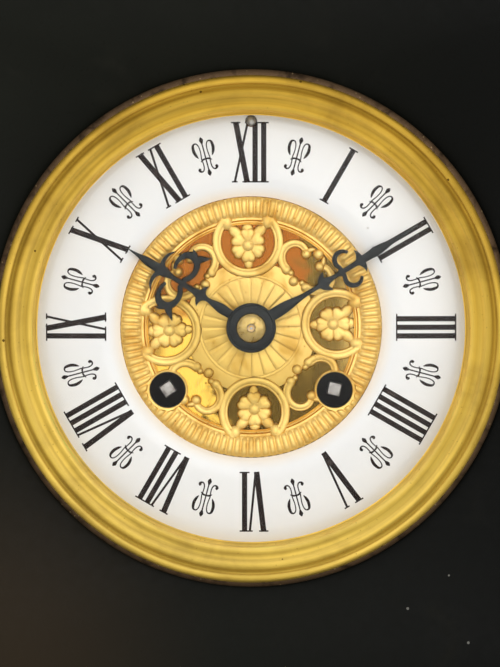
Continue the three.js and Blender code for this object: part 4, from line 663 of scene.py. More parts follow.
def rim_tones(look, colour):
    """Tarnish, with painted light and shade: lighter next to the bezel and darker outwards. The
    wall inside the ring is painted pale, so that it throws light on the enamel.
    """
    radius = look.turned()["Radius"]
    # Painted light and shade over the tarnish: lighter next to the bezel, darker towards the
    # flange's edge.
    tarnish_and_shade = look.tint(colour, look.ramp(radius, 0.0666, 0.0688, 1.45, 0.4))
    # Painted light: a pale inner wall that lights the enamel's edge.
    return look.mix(look.ramp(radius, 0.0588, 0.059, 1.0, 0.0), tarnish_and_shade, (250, 232, 184))


# Bands of painted light and shade on the bezel: radius in millimetres, and how bright the gilding
# is painted there
BEZEL_LIGHT_BANDS = ((56.4, 1.0), (57.8, 1.45), (58.8, 0.9), (59.6, 0.76), (60.9, 0.95), (61.7, 1.15),
               (62.5, 0.92), (63.3, 0.72), (64.4, 0.66), (65.1, 1.05), (65.9, 0.82), (67.0, 0.75))


def bezel_material(colours):
    """Old gilding with pits, and with painted light and shade: bright on the crests, dull in the
    hollows, brown in the groove, paler at the bottom and warmer at the top.
    """
    look = Look("Gilt bezel")
    turned = look.turned(4200.0)
    wobble = look.ramp(look.noise(look.place, 90.0, 4.0), 0.2, 0.8, -0.0002, 0.0002)
    first, last = BEZEL_LIGHT_BANDS[0][0], BEZEL_LIGHT_BANDS[-1][0]
    along = look.add("ShaderNodeMapRange", {"Value": look.plus(turned["Radius"], wobble),
                                            "From Min": first * MM, "From Max": last * MM})
    light_bands = look.add("ShaderNodeValToRGB", {0: along.outputs[0]})
    stops = light_bands.color_ramp.elements
    while len(stops) < len(BEZEL_LIGHT_BANDS):
        stops.new(0.5)
    for stop, (at, bright) in zip(stops, BEZEL_LIGHT_BANDS):
        stop.position = (at - first) / (last - first)
        stop.color = (bright, bright ** 1.1, bright ** 1.7, 1)
    patches = look.clouds(55.0, 0.42, 0.74)
    pits = look.specks(230.0, 0.085, 0.9)
    dust = look.specks(900.0, 0.16, 0.86)
    shown = look.mix(look.times(patches, 0.8), colours.bezel, (192, 156, 72))
    # Painted light and shade in bands across the moulding.
    shown = look.tint(shown, light_bands.outputs[0])
    shown = look.tint(shown, look.ramp(look.turned(900.0)["Height"], 0.25, 0.75, 0.84, 1.12))
    # Painted light: paler at the bottom, darker and warmer at the top.
    shown = look.tint(shown, look.mix(look.ramp(look.leaning(0.2), -0.06, 0.06),
                                      (1.12, 1.22, 1.4, 1), (0.96, 0.94, 0.75, 1)))
    shown = look.mix(look.times(dust, 0.35), shown, (120, 84, 24))
    shown = look.mix(look.times(pits, 0.85), shown, (70, 46, 14))
    grey = look.add("ShaderNodeRGBToBW", {"Color": light_bands.outputs[0]}).outputs[0]
    dull = look.plus(look.times(patches, 0.25), look.ramp(grey, 0.6, 1.0, 0.6, 0.0))
    look.bump(look.math("SUBTRACT", turned["Height"], pits), 0.14)
    return look.finished({"Base Color": shown, "Metallic": 1.0,
                          "Roughness": look.ramp(dull, 0.0, 0.8, 0.56, 0.7)})


def enamel_material(colours):
    """White enamel, with a painted warm glow at its inner and outer edges, where gilding would
    light it.
    """
    look = Look("White enamel")
    clouds = look.clouds(40.0, 0.4, 0.8)
    radius = look.turned()["Radius"]
    painted_glow = look.plus(look.ramp(radius, 0.0345, 0.0385, 0.55, 0.0),
                       look.ramp(radius, 0.0545, 0.0572, 0.0, 0.2))
    shown = look.mix(clouds, colours.enamel, (241, 241, 240))
    shown = look.mix(look.times(look.specks(160.0, 0.05, 0.93), 0.6), shown, (196, 190, 180))
    # Painted light: a warm glow next to the gilding.
    shown = look.mix(painted_glow, shown, (241, 219, 186))
    look.bump(look.noise(look.place, 55.0, 2.0), 0.05, 0.0006)
    return look.finished({"Base Color": shown, "Roughness": look.ramp(clouds, 0.0, 1.0, 0.1, 0.16),
                          "Specular IOR Level": 0.4, "Coat Weight": 0.3, "Coat Roughness": 0.04})


def glass_material():
    """Thin clear glass that lets light through without a shadow."""
    look = Look("Clear glass")
    path = look.add("ShaderNodeLightPath").outputs
    clear = look.add("ShaderNodeBsdfTransparent")
    both = look.add("ShaderNodeMixShader", {0: path["Is Shadow Ray"], 1: look.shader.outputs[0],
                                            2: clear.outputs[0]})
    look.feed(look.output, {"Surface": both.outputs[0]})
    dust = look.clouds(50.0, 0.4, 0.8)
    return look.finished({"Base Color": (1, 1, 1, 1), "Transmission Weight": 1.0, "IOR": 1.12,
                          "Roughness": look.ramp(dust, 0.0, 1.0, 0.0, 0.015)})


def floor_material():
    """Pale paper."""
    return Look("Pale floor").finished({"Base Color": (0.8, 0.8, 0.79, 1), "Roughness": 0.7})


def all_finishes(colours):
    """Every material of the clock, by its short name."""
    dark, stain = (60, 40, 14), (84, 56, 18)
    return {
        "slate": slate_material(colours),
        "enamel": enamel_material(colours),
        "glass": glass_material(),
        # The gilt's darkening in corners is painted shade between flutes and ornaments, as well as
        # dirt.
        "gilt": worn("Matt gilt", colours.gilt, (220, 174, 82), (190, 138, 58), (0.42, 0.6),
                     patch_scale=120.0, spot_scale=700.0, rarity=0.9, grain=0.35,
                     corner_dirt_and_shade=(176, 122, 44), corner_dirt_and_shade_span=(0.15, 0.7), tone=dull_and_shaded_fan),
        "bezel": bezel_material(colours),
        "rim": worn("Tarnished rim", (84, 66, 48), (52, 42, 32), (128, 108, 78), (0.4, 0.7),
                    patch_scale=240.0, spot_scale=900.0, spot_size=0.2, rarity=0.8, grain=0.5,
                    tone=rim_tones),
        "polished": plate_painted_reflection_material(),
        "brass": worn("Lacquered brass", colours.brass, (150, 112, 52), dark, (0.2, 0.38),
                      patch_scale=90.0, spot_scale=420.0, spot_size=0.09, rarity=0.9,
                      grain_kind="brushed", corner_dirt_and_shade=stain),
        "spun": worn("Spun brass", (190, 150, 80), (156, 118, 60), dark, (0.24, 0.42),
                     patch_scale=34.0, patch_span=(0.5, 0.85), spot_scale=700.0, spot_size=0.07,
                     rarity=0.92, grain_kind="turned", corner_dirt_and_shade=stain),
        "washer": worn("Scratched brass", (184, 158, 98), (140, 112, 58), dark, (0.18, 0.4),
                       patch_scale=500.0, spot_scale=1500.0, rarity=0.9, grain=0.5,
                       grain_kind="brushed"),
        "steel": worn("Polished steel", colours.steel, (120, 118, 114), (92, 76, 60),
                      (0.18, 0.36), patch_scale=260.0, spot_scale=1200.0, spot_size=0.12,
                      rarity=0.85, grain=0.2),
        "square": worn("Winding square steel", (176, 172, 166), (128, 122, 114), (90, 82, 72),
                       (0.34, 0.55), patch_scale=600.0, spot_scale=2400.0, spot_size=0.25,
                       rarity=0.6, grain=0.6),
        "blued": worn("Blued steel", colours.blued, (48, 51, 51), (24, 24, 26), (0.3, 0.45),
                      metal=0.6, patch_scale=220.0, spot_scale=1400.0, rarity=0.9, grain=0.2,
                      level=0.4),
        # Paler patches on the black: worn ink, and painted sheen.
        "ink": worn("Fired black", (33, 22, 17), (58, 45, 38), (150, 142, 132), (0.22, 0.4),
                    metal=0.0, patch_scale=260.0, patch_span=(0.5, 0.8), spot_scale=1400.0,
                    spot_size=0.13, rarity=0.86, grain=0.3, level=0.2),
        "bell": worn("Cast bell metal", (186, 160, 112), (140, 116, 76), dark, (0.3, 0.5),
                     patch_scale=50.0, rarity=0.9, grain=0.25, grain_kind="turned"),
        # Painted shadow: dark steel for the ratchets behind the winding squares.
        "painted_shadow": worn("Steel in painted shadow", (34, 30, 27), (48, 40, 32), (20, 18, 16), (0.45, 0.6),
                     metal=0.3, level=0.2),
        # Painted shade: dark linings for the holes in the dial.
        "hole": worn("Dark bore in painted shade", (17, 15, 13), (28, 23, 19), (60, 48, 34), (0.5, 0.7),
                     metal=0.0, level=0.2),
    }


FINISHES = {}


def finish(name):
    """A material by its short name. The first call makes them all."""
    if not FINISHES:
        FINISHES.update(all_finishes(bpy.context.scene.clock_colours))
    return FINISHES[name]


# Depths read from the CAD model, in millimetres
GILT_FLOOR = span("gilt_dial_centre")[1]
ENAMEL_BACK = span("enamel_chapter_ring")[1]
GILT_FACE = GILT_FLOOR - 1.3
MOUNT_FRONT = span("dial_mount_ring")[0]


# Case

SLATE_NODES = ("plinth", "base_moulding", "front_slab", "back_slab", "left_side_slab",
               "right_side_slab", "cornice_moulding", "top_slab", "cap_block")


def merged_copy(node, name):
    """A welded copy of a CAD node's mesh, with its flat faces rejoined."""
    shape = bmesh.new()
    shape.from_mesh(NODES[node].data)
    bmesh.ops.remove_doubles(shape, verts=shape.verts, dist=1e-6)
    bmesh.ops.dissolve_limit(shape, angle_limit=math.radians(1), verts=shape.verts,
                             edges=shape.edges)
    mesh = bpy.data.meshes.new(name)
    shape.to_mesh(mesh)
    shape.free()
    return mesh


def break_edges(piece, width, limit, sharp=SHARP):
    """Rounds edges sharper than a limit, with two facets. Angles are in degrees."""
    step = piece.modifiers.new("edges", "BEVEL")
    step.width = width
    step.segments = 2
    step.limit_method = "ANGLE"
    step.angle_limit = math.radians(limit)
    bake(piece, sharp)


class CLOCK_OT_case(bpy.types.Operator):
    """Slabs and mouldings of black slate, with their edges broken"""
    bl_idname = "clock.case"
    bl_label = "Slate case"

    def execute(self, context):
        sizes = context.scene.clock_case
        for node in SLATE_NODES:
            name = node + "_stone"
            piece = object_from(name, merged_copy(node, name), finish("slate"))
            break_edges(piece, sizes.edge_break, 40, 30)
            seat(piece, "case", "slate", node)
        return {"FINISHED"}


# Bezel, its glass and the ring that it closes on

# Face of the bezel: millimetres from its inner edge, and depth. True marks a corner.
BEZEL_FACE = ((0, -4.6), (0.45, -5.9), (1.0, -6.7, True), (1.3, -7.6), (2.0, -8.1), (2.9, -8.15),
              (3.7, -8.2), (4.4, -8.4), (4.9, -8.75), (5.6, -9.2), (6.4, -9.4), (7.0, -9.25),
              (7.4, -8.9), (7.85, -8.7), (8.2, -8.85), (8.55, -9.2), (9.1, -9.4), (9.8, -9.3),
              (10.3, -8.8))


def bezel_profile():
    """The bezel's section: a lip, two swelling mouldings, a deep groove and an outer bead."""
    back = MOUNT_FRONT - 0.3
    outer = reach("bezel_ring")
    inner = outer - 10.5
    face = smooth_line([(inner + out, *rest) for out, *rest in BEZEL_FACE]
                       + [(outer, -8.0), (outer, -6.8, True)], 5)
    glass_front, glass_back = span("bezel_glass")
    groove = reach("bezel_glass") + 0.2
    behind = [(outer, back), (inner + 1.05, back), (inner + 1.05, glass_back + 0.2),
              (groove, glass_back + 0.2), (groove, glass_front - 0.2), (inner, glass_front - 0.2)]
    return face + behind


# Both hinges: radii of knuckle and pin, half lengths of the middle knuckle and of the pin,
# and the lower ends and length of the two outer knuckles
KNUCKLE, PIN = 1.6, 0.7
MIDDLE_HALF, PIN_HALF = 4, 9.3
OUTER_LOWS, OUTER_LONG = (4.3, -9.3), 5


def knuckle_form(at, low, high, tab_x, tab_front, tab_back):
    """A hinge knuckle at (x, depth), with the tab that joins it to its ring."""
    form = Form()
    form.add(*rod(*at, KNUCKLE, low, high))
    form.add(*box_form((min(at[0], tab_x), tab_front, low), (max(at[0], tab_x), tab_back, high)))
    return form


def lug(side, inner, outer, front, back, half):
    """A fixing lug at one side of the axis, between two distances from it."""
    return box_form((min(side * inner, side * outer), front, -half),
                    (max(side * inner, side * outer), back, half))


def pin_form(at):
    """A hinge pin at (x, depth)."""
    return rod(*at, PIN, -PIN_HALF, PIN_HALF)


class CLOCK_OT_bezel(bpy.types.Operator):
    """Gilt bezel with its glass, on a tarnished mount ring, with the hinge between them"""
    bl_idname = "clock.bezel"
    bl_label = "Bezel and glass"

    def execute(self, context):
        steps = context.scene.clock_dial.ring_steps
        hinge = middle_of("bezel_hinge_pin")[:2]

        ring = Form().turn(bezel_profile(), steps)
        ring.take(knuckle_form(hinge, -MIDDLE_HALF, MIDDLE_HALF, reach("bezel_ring") - 1.2,
                               MOUNT_FRONT - 1.9, MOUNT_FRONT - 0.3))
        make("bezel_moulding", ring, finish("bezel"), "bezel", "gilt", "bezel_ring")

        front, back = span("bezel_glass")
        edge = reach("bezel_glass")
        pane = Form().turn([(0, front), (edge - 0.3, front), (edge, front + 0.3),
                            (edge, back - 0.3), (edge - 0.3, back), (0, back)], steps,
                           closed=False)
        make("bezel_pane", pane, finish("glass"), "bezel", "glass", "bezel_glass")

        # Outer edge of the flange, outside of the tube behind it, and the wall inside it
        flange, tube_out, wall = 68.6, 60.3, 58.3
        front, back = MOUNT_FRONT, -0.2
        mount = Form().turn([
            (flange - 0.35, front), (flange - 0.08, front + 0.12), (flange, front + 0.4),
            (flange, back), (tube_out, back), (tube_out, 9), (wall - 2, 9), (wall - 2, 7),
            (wall, 7), (wall, front + 0.15), (wall + 0.15, front)], steps)
        for side, low in zip((1, -1), OUTER_LOWS):
            mount.take(knuckle_form(hinge, low, low + OUTER_LONG, flange - 1.6, front, back))
            mount.add(*lug(side, 50.6, 57.3, 7, 9, 5.2))
        make("mount_ring", mount, finish("rim"), "case", "brass", "dial_mount_ring")
        pin = Form().add(*pin_form(hinge))
        make("hinge_pin", pin, finish("brass"), "case", "brass", "bezel_hinge_pin")
        return {"FINISHED"}


# Enamel chapter ring with its numerals and ornaments

ENAMEL_OUTER = 58.0
ENAMEL_INNER = 34.8
ENAMEL_RISE = 2.2
# Section of the enamel: share of its width, share of its height
ENAMEL_SECTION = [(0, 0.62), (0.05, 0.78), (0.12, 0.9), (0.22, 1.0), (0.34, 0.97), (0.62, 0.84),
                  (0.85, 0.66), (1, 0.5)]


def enamel_line():
    """The enamel's section, as points of (radius, depth)."""
    width = ENAMEL_OUTER - ENAMEL_INNER
    return smooth_line([(ENAMEL_INNER + width * along, ENAMEL_BACK - ENAMEL_RISE * up)
                        for along, up in ENAMEL_SECTION], 6)


ENAMEL_LINE = enamel_line()


def enamel_depth(radius):
    """Depth of the enamel's face at a radius."""
    for a, b in zip(ENAMEL_LINE, ENAMEL_LINE[1:]):
        if radius <= b.x:
            share = max(0.0, (radius - a.x) / (b.x - a.x))
            return a.y + (b.y - a.y) * share
    return ENAMEL_LINE[-1].y


# Numerals: strokes of (x at the outer end, x at the inner end, half width), and serifs of
# (end, from, to), in millimetres across the numeral.
THICK = 0.7
THIN = 0.3
PITCH = 2.28
SERIF = 0.62
SERIF_HALF = 0.19
INK_DEEP = 0.1


def bars(first, count):
    """Upright strokes at an even pitch, joined by one serif at each end."""
    places = [first + PITCH * i for i in range(count)]
    strokes = [(x, x, THICK) for x in places]
    ends = [(end, places[0] - THICK - SERIF, places[-1] + THICK + SERIF) for end in (0, 1)]
    return strokes, ends


def cross(middle):
    """An X: a thick stroke down to the right and a thin one down to the left."""
    strokes = [(middle - 1.5, middle + 1.55, 0.74), (middle + 1.7, middle - 1.75, THIN)]
    serifs = [(0, middle - 2.75, middle - 0.25), (0, middle + 0.95, middle + 2.45),
              (1, middle - 2.5, middle - 1.0), (1, middle + 0.3, middle + 2.75)]
    return strokes, serifs


def vee(middle):
    """A V: a thick stroke and a thin one that meet at the foot."""
    strokes = [(middle - 1.85, middle + 0.05, 0.74), (middle + 1.85, middle + 0.3, THIN)]
    return strokes, [(0, middle - 3.1, middle - 0.6), (0, middle + 1.1, middle + 2.6)]


NUMERALS = {
    0: (cross(-2.6), bars(1.05, 2)), 1: (bars(0, 1),), 2: (bars(-1.14, 2),), 3: (bars(-2.28, 3),),
    4: (bars(-3.42, 4),), 5: (vee(0),), 6: (vee(-1.5), bars(1.75, 1)),
    7: (vee(-2.6), bars(0.62, 2)), 8: (vee(-3.7), bars(-0.5, 3)),
    9: (bars(-2.3, 1), cross(1.2)), 10: (cross(0),), 11: (cross(-1.2), bars(2.3, 1)),
}


def ink_strip(form, path, halves, lift):
    """A strip of fired black sunk in the enamel, apart from its lift."""
    form.add(*sweep(path, halves, 0, INK_DEEP, FLAT_STRIP, even=True,
                    surface=lambda radius: enamel_depth(radius) + INK_DEEP - lift))


def stroke_form(form, bearing, start, end, half, lift, steps=10):
    """A straight stroke on the enamel, from one (across, radius) place to another."""
    angle = math.radians(bearing)
    path = []
    for i in range(steps + 1):
        t = i / steps
        across = start[0] + (end[0] - start[0]) * t
        out = start[1] + (end[1] - start[1]) * t
        path.append((out * math.sin(angle) + across * math.cos(angle),
                     out * math.cos(angle) - across * math.sin(angle)))
    ink_strip(form, path, [half] * len(path), lift)


def numeral_form(sizes):
    """The twelve numerals, as strokes and serifs a little proud of the enamel."""
    form = Form()
    outer, inner = sizes.numeral_outer / MM, sizes.numeral_inner / MM
    for hour, letters in NUMERALS.items():
        bearing = 30 * hour
        for strokes, serifs in letters:
            for top, foot, half in strokes:
                stroke_form(form, bearing, (top, outer), (foot, inner), half,
                            0.03 if half > 0.5 else 0.036)
            for end, low, high in serifs:
                radius = inner + 0.16 if end else outer - 0.16
                stroke_form(form, bearing, (low, radius), (high, radius), SERIF_HALF, 0.042, 4)
    return form


def taper(count, widths):
    """Half widths spread evenly along a path from a short list of them."""
    line = smooth_line([(i, w) for i, w in enumerate(widths)], 8)
    return [line[round(i * (len(line) - 1) / (count - 1))].y for i in range(count)]


def dial_ornament():
    """A small scrolled ornament at twelve: a spear, two looped strokes and two hooks."""
    form = Form()
    middle = 46.95

    def drawn(points, widths, lift):
        path = [(v, middle + 0.93 * u) for u, v in smooth_line(points, 6)]
        ink_strip(form, path, taper(len(path), [0.88 * w for w in widths]), lift)

    drawn([(-5.3, 0), (5.3, 0)], [0.2] * 3, 0.03)
    for end in (-1, 1):
        drawn([(end * 5.7, 0), (end * 4.8, 0), (end * 3.5, 0)], [0.03, 0.62, 0.08], 0.034)
        drawn([(-0.6, end * 1.15), (1.6, end * 0.95), (3.2, end * 1.08), (4.05, end * 1.5),
               (4.15, end * 2.1), (3.6, end * 2.55), (2.1, end * 2.65), (0.8, end * 2.3),
               (-0.1, end * 1.85)], [0.17, 0.16, 0.17, 0.19, 0.25, 0.38, 0.46, 0.38, 0.1], 0.038)
        drawn([(-0.4, end * 1.15), (-1.6, end * 1.02), (-2.9, end * 1.02), (-3.8, end * 1.35),
               (-4.0, end * 1.95), (-3.5, end * 2.35), (-3.0, end * 2.1)],
              [0.17, 0.17, 0.18, 0.2, 0.26, 0.44, 0.3], 0.038)
        drawn([(-0.6, 0), (-0.75, end * 0.8), (-1.25, end * 1.5)], [0.2, 0.28, 0.12], 0.042)
    return form


class CLOCK_OT_dial(bpy.types.Operator):
    """Enamel chapter ring with fired numerals and twelve small ornaments"""
    bl_idname = "clock.dial"
    bl_label = "Enamel dial"

    def execute(self, context):
        sizes = context.scene.clock_dial
        back = [(ENAMEL_OUTER, ENAMEL_BACK), (ENAMEL_INNER, ENAMEL_BACK)]
        ring = piece_from("enamel_ring", Form().turn(ENAMEL_LINE + back, sizes.ring_steps),
                          finish("enamel"), sharp=50)
        hole, place = sizes.regulator_hole / MM, sizes.regulator_height / MM
        drilled = drill(hole, 0, 9, 48, (0, place))
        cut(ring, drilled)
        seat(ring, "case", "enamel", "enamel_chapter_ring")
        numerals = piece_from("numerals", numeral_form(sizes), finish("ink"))
        cut(numerals, drilled)
        seat(numerals, "case", "enamel")
        ornaments = ring_of("dial_ornaments", dial_ornament(), 12, 15, finish("ink"))
        seat(ornaments, "case", "enamel")
        # A dark bore round the regulator's arbor, a lining that paints shade into the hole
        depth = enamel_depth(place)
        bore = Form().turn([(hole, depth - 0.05), (hole + 0.06, depth - 0.05),
                            (hole + 0.06, ENAMEL_BACK), (hole, ENAMEL_BACK)], 40, (0, place))
        make("regulator_bore", bore, finish("hole"), "case", "brass")
        end = Form().turn([(0, 2.9), (0.55, 2.95), (1.0, 3.15), (1.3, 3.55), (1.3, 5.5),
                           (0, 5.5)], 36, (0, place), closed=False)
        make("regulator_end", end, finish("square"), "regulator_arbor", "steel")
        return {"FINISHED"}


# Pierced gilt centre

# Winding holes: places and radius. Band: its outer and inner radius.
HOLE_AT = ((22.2, -16.7), (-22.2, -16.7))
HOLE_RADIUS = 4.75
BAND_OUTER = 34.6
BAND_INNER = 29.1


def crossing(bearing, out, middle, radius, side):
    """Radius at which a bearing crosses a circle, whose middle lies out at a bearing of its own.
    Side is 1 for the circle's far side and -1 for its near side. None where it misses."""
    off = math.radians((bearing - middle + 180) % 360 - 180)
    inside = radius ** 2 - (out * math.sin(off)) ** 2
    if inside > 0 and abs(off) < 1:
        return out * math.cos(off) + side * math.sqrt(inside)
    return None


def band_inner(bearing, margin=0.35):
    """Where the band starts at a bearing: its own edge, or the far side of a winding hole."""
    found = [crossing(bearing, math.hypot(*at), math.degrees(math.atan2(*at)),
                      HOLE_RADIUS + margin, 1) for at in HOLE_AT]
    return max([BAND_INNER] + [edge for edge in found if edge])


def band_depth(radius):
    """The rounded crest that the flutes lie on."""
    share = (radius - BAND_INNER) / (BAND_OUTER - BAND_INNER)
    arch = max(0.0, 1 - abs(2 * share - 1) ** 3.4)
    return GILT_FACE - 0.1 - 0.6 * arch


def band_form(steps=256, across=12):
    """The band that carries the flutes, cut back round the winding holes."""
    points = []
    for i in range(steps):
        bearing = 360 * i / steps
        inner = band_inner(bearing)
        for k in range(across + 1):
            radius = inner + (BAND_OUTER - inner) * k / across
            x, z = polar(radius, bearing)
            points.append((x, band_depth(radius), z))
        for radius in (BAND_OUTER, inner):
            x, z = polar(radius, bearing)
            points.append((x, GILT_FLOOR, z))
    return Form().add(points, tube(steps, across + 3, closed=True))


FLUTE_ENDS = (BAND_INNER + 0.15, BAND_OUTER + 0.1)


def flute_form(count):
    """One flute of the band, at twelve: a long rounded ridge that follows the crest."""
    low, high = FLUTE_ENDS
    middle = (low + high) / 2
    half = math.pi * middle / count * 0.94
    points, faces = [], []
    along, across = 7, 4
    for i in range(along + 1):
        t = i / along
        radius = low + (high - low) * t
        end = math.sqrt(max(0.0, 1 - (2 * t - 1) ** 8))
        wide = half * (0.5 + 0.5 * end) * (radius / middle)
        for k in range(across + 1):
            s = 2 * k / across - 1
            lift = 0.5 * end * math.sqrt(max(0.0, 1 - s * s)) - 0.03
            points.append((wide * s, band_depth(radius) - lift, radius))
    row = across + 1
    for i in range(along):
        for k in range(across):
            a = i * row + k
            faces.append([a, a + 1, a + row + 1, a + row])
    # The hidden underside closes the ridge
    base = len(points)
    for i in range(along + 1):
        left, right = points[i * row], points[i * row + across]
        points += [(left[0], left[1] + 0.25, left[2]), (right[0], right[1] + 0.25, right[2])]
    for i in range(along):
        a, b = base + 2 * i, base + 2 * i + 2
        faces.append([a, b, b + 1, a + 1])
        faces.append([i * row, (i + 1) * row, b, a])
        faces.append([i * row + across, a + 1, b + 1, (i + 1) * row + across])
    faces.append([base, base + 1] + [across - k for k in range(across + 1)])
    faces.append([base + 2 * along + 1, base + 2 * along]
                 + [along * row + k for k in range(across + 1)])
    return Form().add(points, faces)


def shorten_flutes(piece):
    """Draws the flutes back from the winding holes."""
    low, high = FLUTE_ENDS
    for v in piece.data.vertices:
        x, z = (v.co.x - CENTRE.x) / MM, (v.co.z - CENTRE.z) / MM
        radius = math.hypot(x, z)
        start = band_inner(math.degrees(math.atan2(x, z)), 0.6)
        if start > low:
            drawn = start + (radius - low) * (high - start) / (high - low)
            v.co.x = CENTRE.x + x / radius * drawn * MM
            v.co.z = CENTRE.z + z / radius * drawn * MM
            v.co.y += (band_depth(drawn) - band_depth(radius)) * MM


def open_arcs(radius, margin):
    """Bearings of the stretches of a ring that the winding holes leave."""
    out = math.hypot(*HOLE_AT[0])
    middle = math.degrees(math.atan2(*HOLE_AT[0]))
    cosine = (radius ** 2 + out ** 2 - (HOLE_RADIUS + margin) ** 2) / (2 * radius * out)
    half = math.degrees(math.acos(min(1.0, cosine)))
    return [(-(middle - half), middle - half), (middle + half, 360 - middle - half)]


def ring_strip(form, radius, half, height, section):
    """A moulded ring that stops short of the winding holes."""
    for first, last in open_arcs(radius, 0.3):
        steps = max(12, round((last - first) / 2))
        path = [polar(radius, first + (last - first) * i / steps) for i in range(steps + 1)]
        form.add(*sweep(path, [half] * len(path), GILT_FLOOR, height, section))


# Collar round the fan, the flowers and their open frames, turn of the four quarters, and the fan
COLLAR = 17.6
FRAME_OFFSET = 22.7
FRAME_RADIUS = 8.3
FLOWER_OFFSET = 21.8
GILT_TURN = -2.2
FAN_RADIUS = 13.3
FAN_COUNT = 24


def collar_reach(bearing):
    """Outer edge of the collar round the fan, which the four frames bite into."""
    found = [crossing(bearing - GILT_TURN, FRAME_OFFSET, 90 * quarter, FRAME_RADIUS - 0.3, -1)
             for quarter in range(4)]
    return min([COLLAR] + [edge for edge in found if edge])


def collar_form(steps=240):
    """The pierced sheet's collar, a flat ring with rounded edges."""
    points = []
    for i in range(steps):
        bearing = 360 * i / steps
        outer, inner = collar_reach(bearing), FAN_RADIUS - 0.4
        for radius, depth in ((inner, GILT_FLOOR), (inner, GILT_FACE), (outer - 0.25, GILT_FACE),
                              (outer - 0.07, GILT_FACE + 0.07), (outer, GILT_FACE + 0.3),
                              (outer, GILT_FLOOR)):
            x, z = polar(radius, bearing)
            points.append((x, depth, z))
    return Form().add(points, tube(steps, 6, closed=True))


def fan_blade():
    """One leaf of the fan at twelve, with a rounded outer end and a hollow each side."""
    points, faces = [], []
    along, across = 9, 6
    half = math.pi / FAN_COUNT * 0.995
    for i in range(along + 1):
        t = i / along
        for k in range(across + 1):
            s = 2 * k / across - 1
            edge = FAN_RADIUS - 0.1 - 0.25 * s * s
            radius = 3.6 + (edge - 3.6) * t
            rise = 0.2 + 0.42 * t
            end = math.sqrt(max(0.0, 1 - max(0.0, (t - 0.85) / 0.15) ** 2))
            slope = 0.72 + 0.28 * s if s > -0.9 else 0.3
            lift = rise * slope * (1 - 0.5 * max(0.0, s - 0.7) / 0.3) * (0.6 + 0.4 * end)
            points.append((radius * math.sin(half * s), GILT_FACE + 0.1 - lift,
                           radius * math.cos(half * s)))
    row = across + 1
    top = len(points)
    points += [(x, GILT_FLOOR, z) for x, _, z in points]
    for i in range(along):
        for k in range(across):
            a = i * row + k
            faces.append([a, a + 1, a + row + 1, a + row])
            faces.append([top + a + row, top + a + row + 1, top + a + 1, top + a])
        for a, b in ((i * row, (i + 1) * row), ((i + 1) * row + across, i * row + across)):
            faces.append([a, b, top + b, top + a])
    for k in range(across):
        faces.append([k + 1, k, top + k, top + k + 1])
        a = along * row + k
        faces.append([a, a + 1, top + a + 1, top + a])
    return Form().add(points, faces)


def flower(x, z, floor, high, rings=12, steps=96):
    """A stamped flower: six broad petals, each notched at its end, round a small boss."""
    points = []
    for level in range(rings + 2):
        for k in range(steps):
            bearing = 360 * k / steps
            petal = math.radians((bearing + 30) % 60 - 30)
            lobe = math.cos(3 * petal) ** 0.45 if abs(petal) < math.radians(29.9) else 0.0
            notch = 0.28 * math.exp(-(math.degrees(petal) / 6.0) ** 2)
            edge = 3.95 + 1.0 * lobe - notch
            t = min(level, rings) / rings
            radius = edge * t
            swell = math.sin(math.pi * min(1.0, max(0.0, (radius - 1.1) / (edge - 0.85)))) ** 0.6
            crease = 0.12 * math.exp(-(math.degrees(petal) / 5.0) ** 2) * t * t
            up = high + 0.15 + 0.5 * swell * (0.35 + 0.65 * lobe) - crease
            up -= 0.5 * max(0.0, (t - 0.86) / 0.14) ** 2
            if radius < 1.35:
                up = high + 0.42 + 0.5 * math.sqrt(max(0.0, 1 - (radius / 1.35) ** 2))
            depth = floor if level > rings else floor - up
            px, pz = polar(radius, bearing)
            points.append((x + px, depth, z + pz))
    faces = tube(rings + 2, steps, first=1)
    faces += [[0, steps + k, steps + (k + 1) % steps] for k in range(steps)]
    faces.append([(rings + 1) * steps + k for k in range(steps)])
    return points, faces


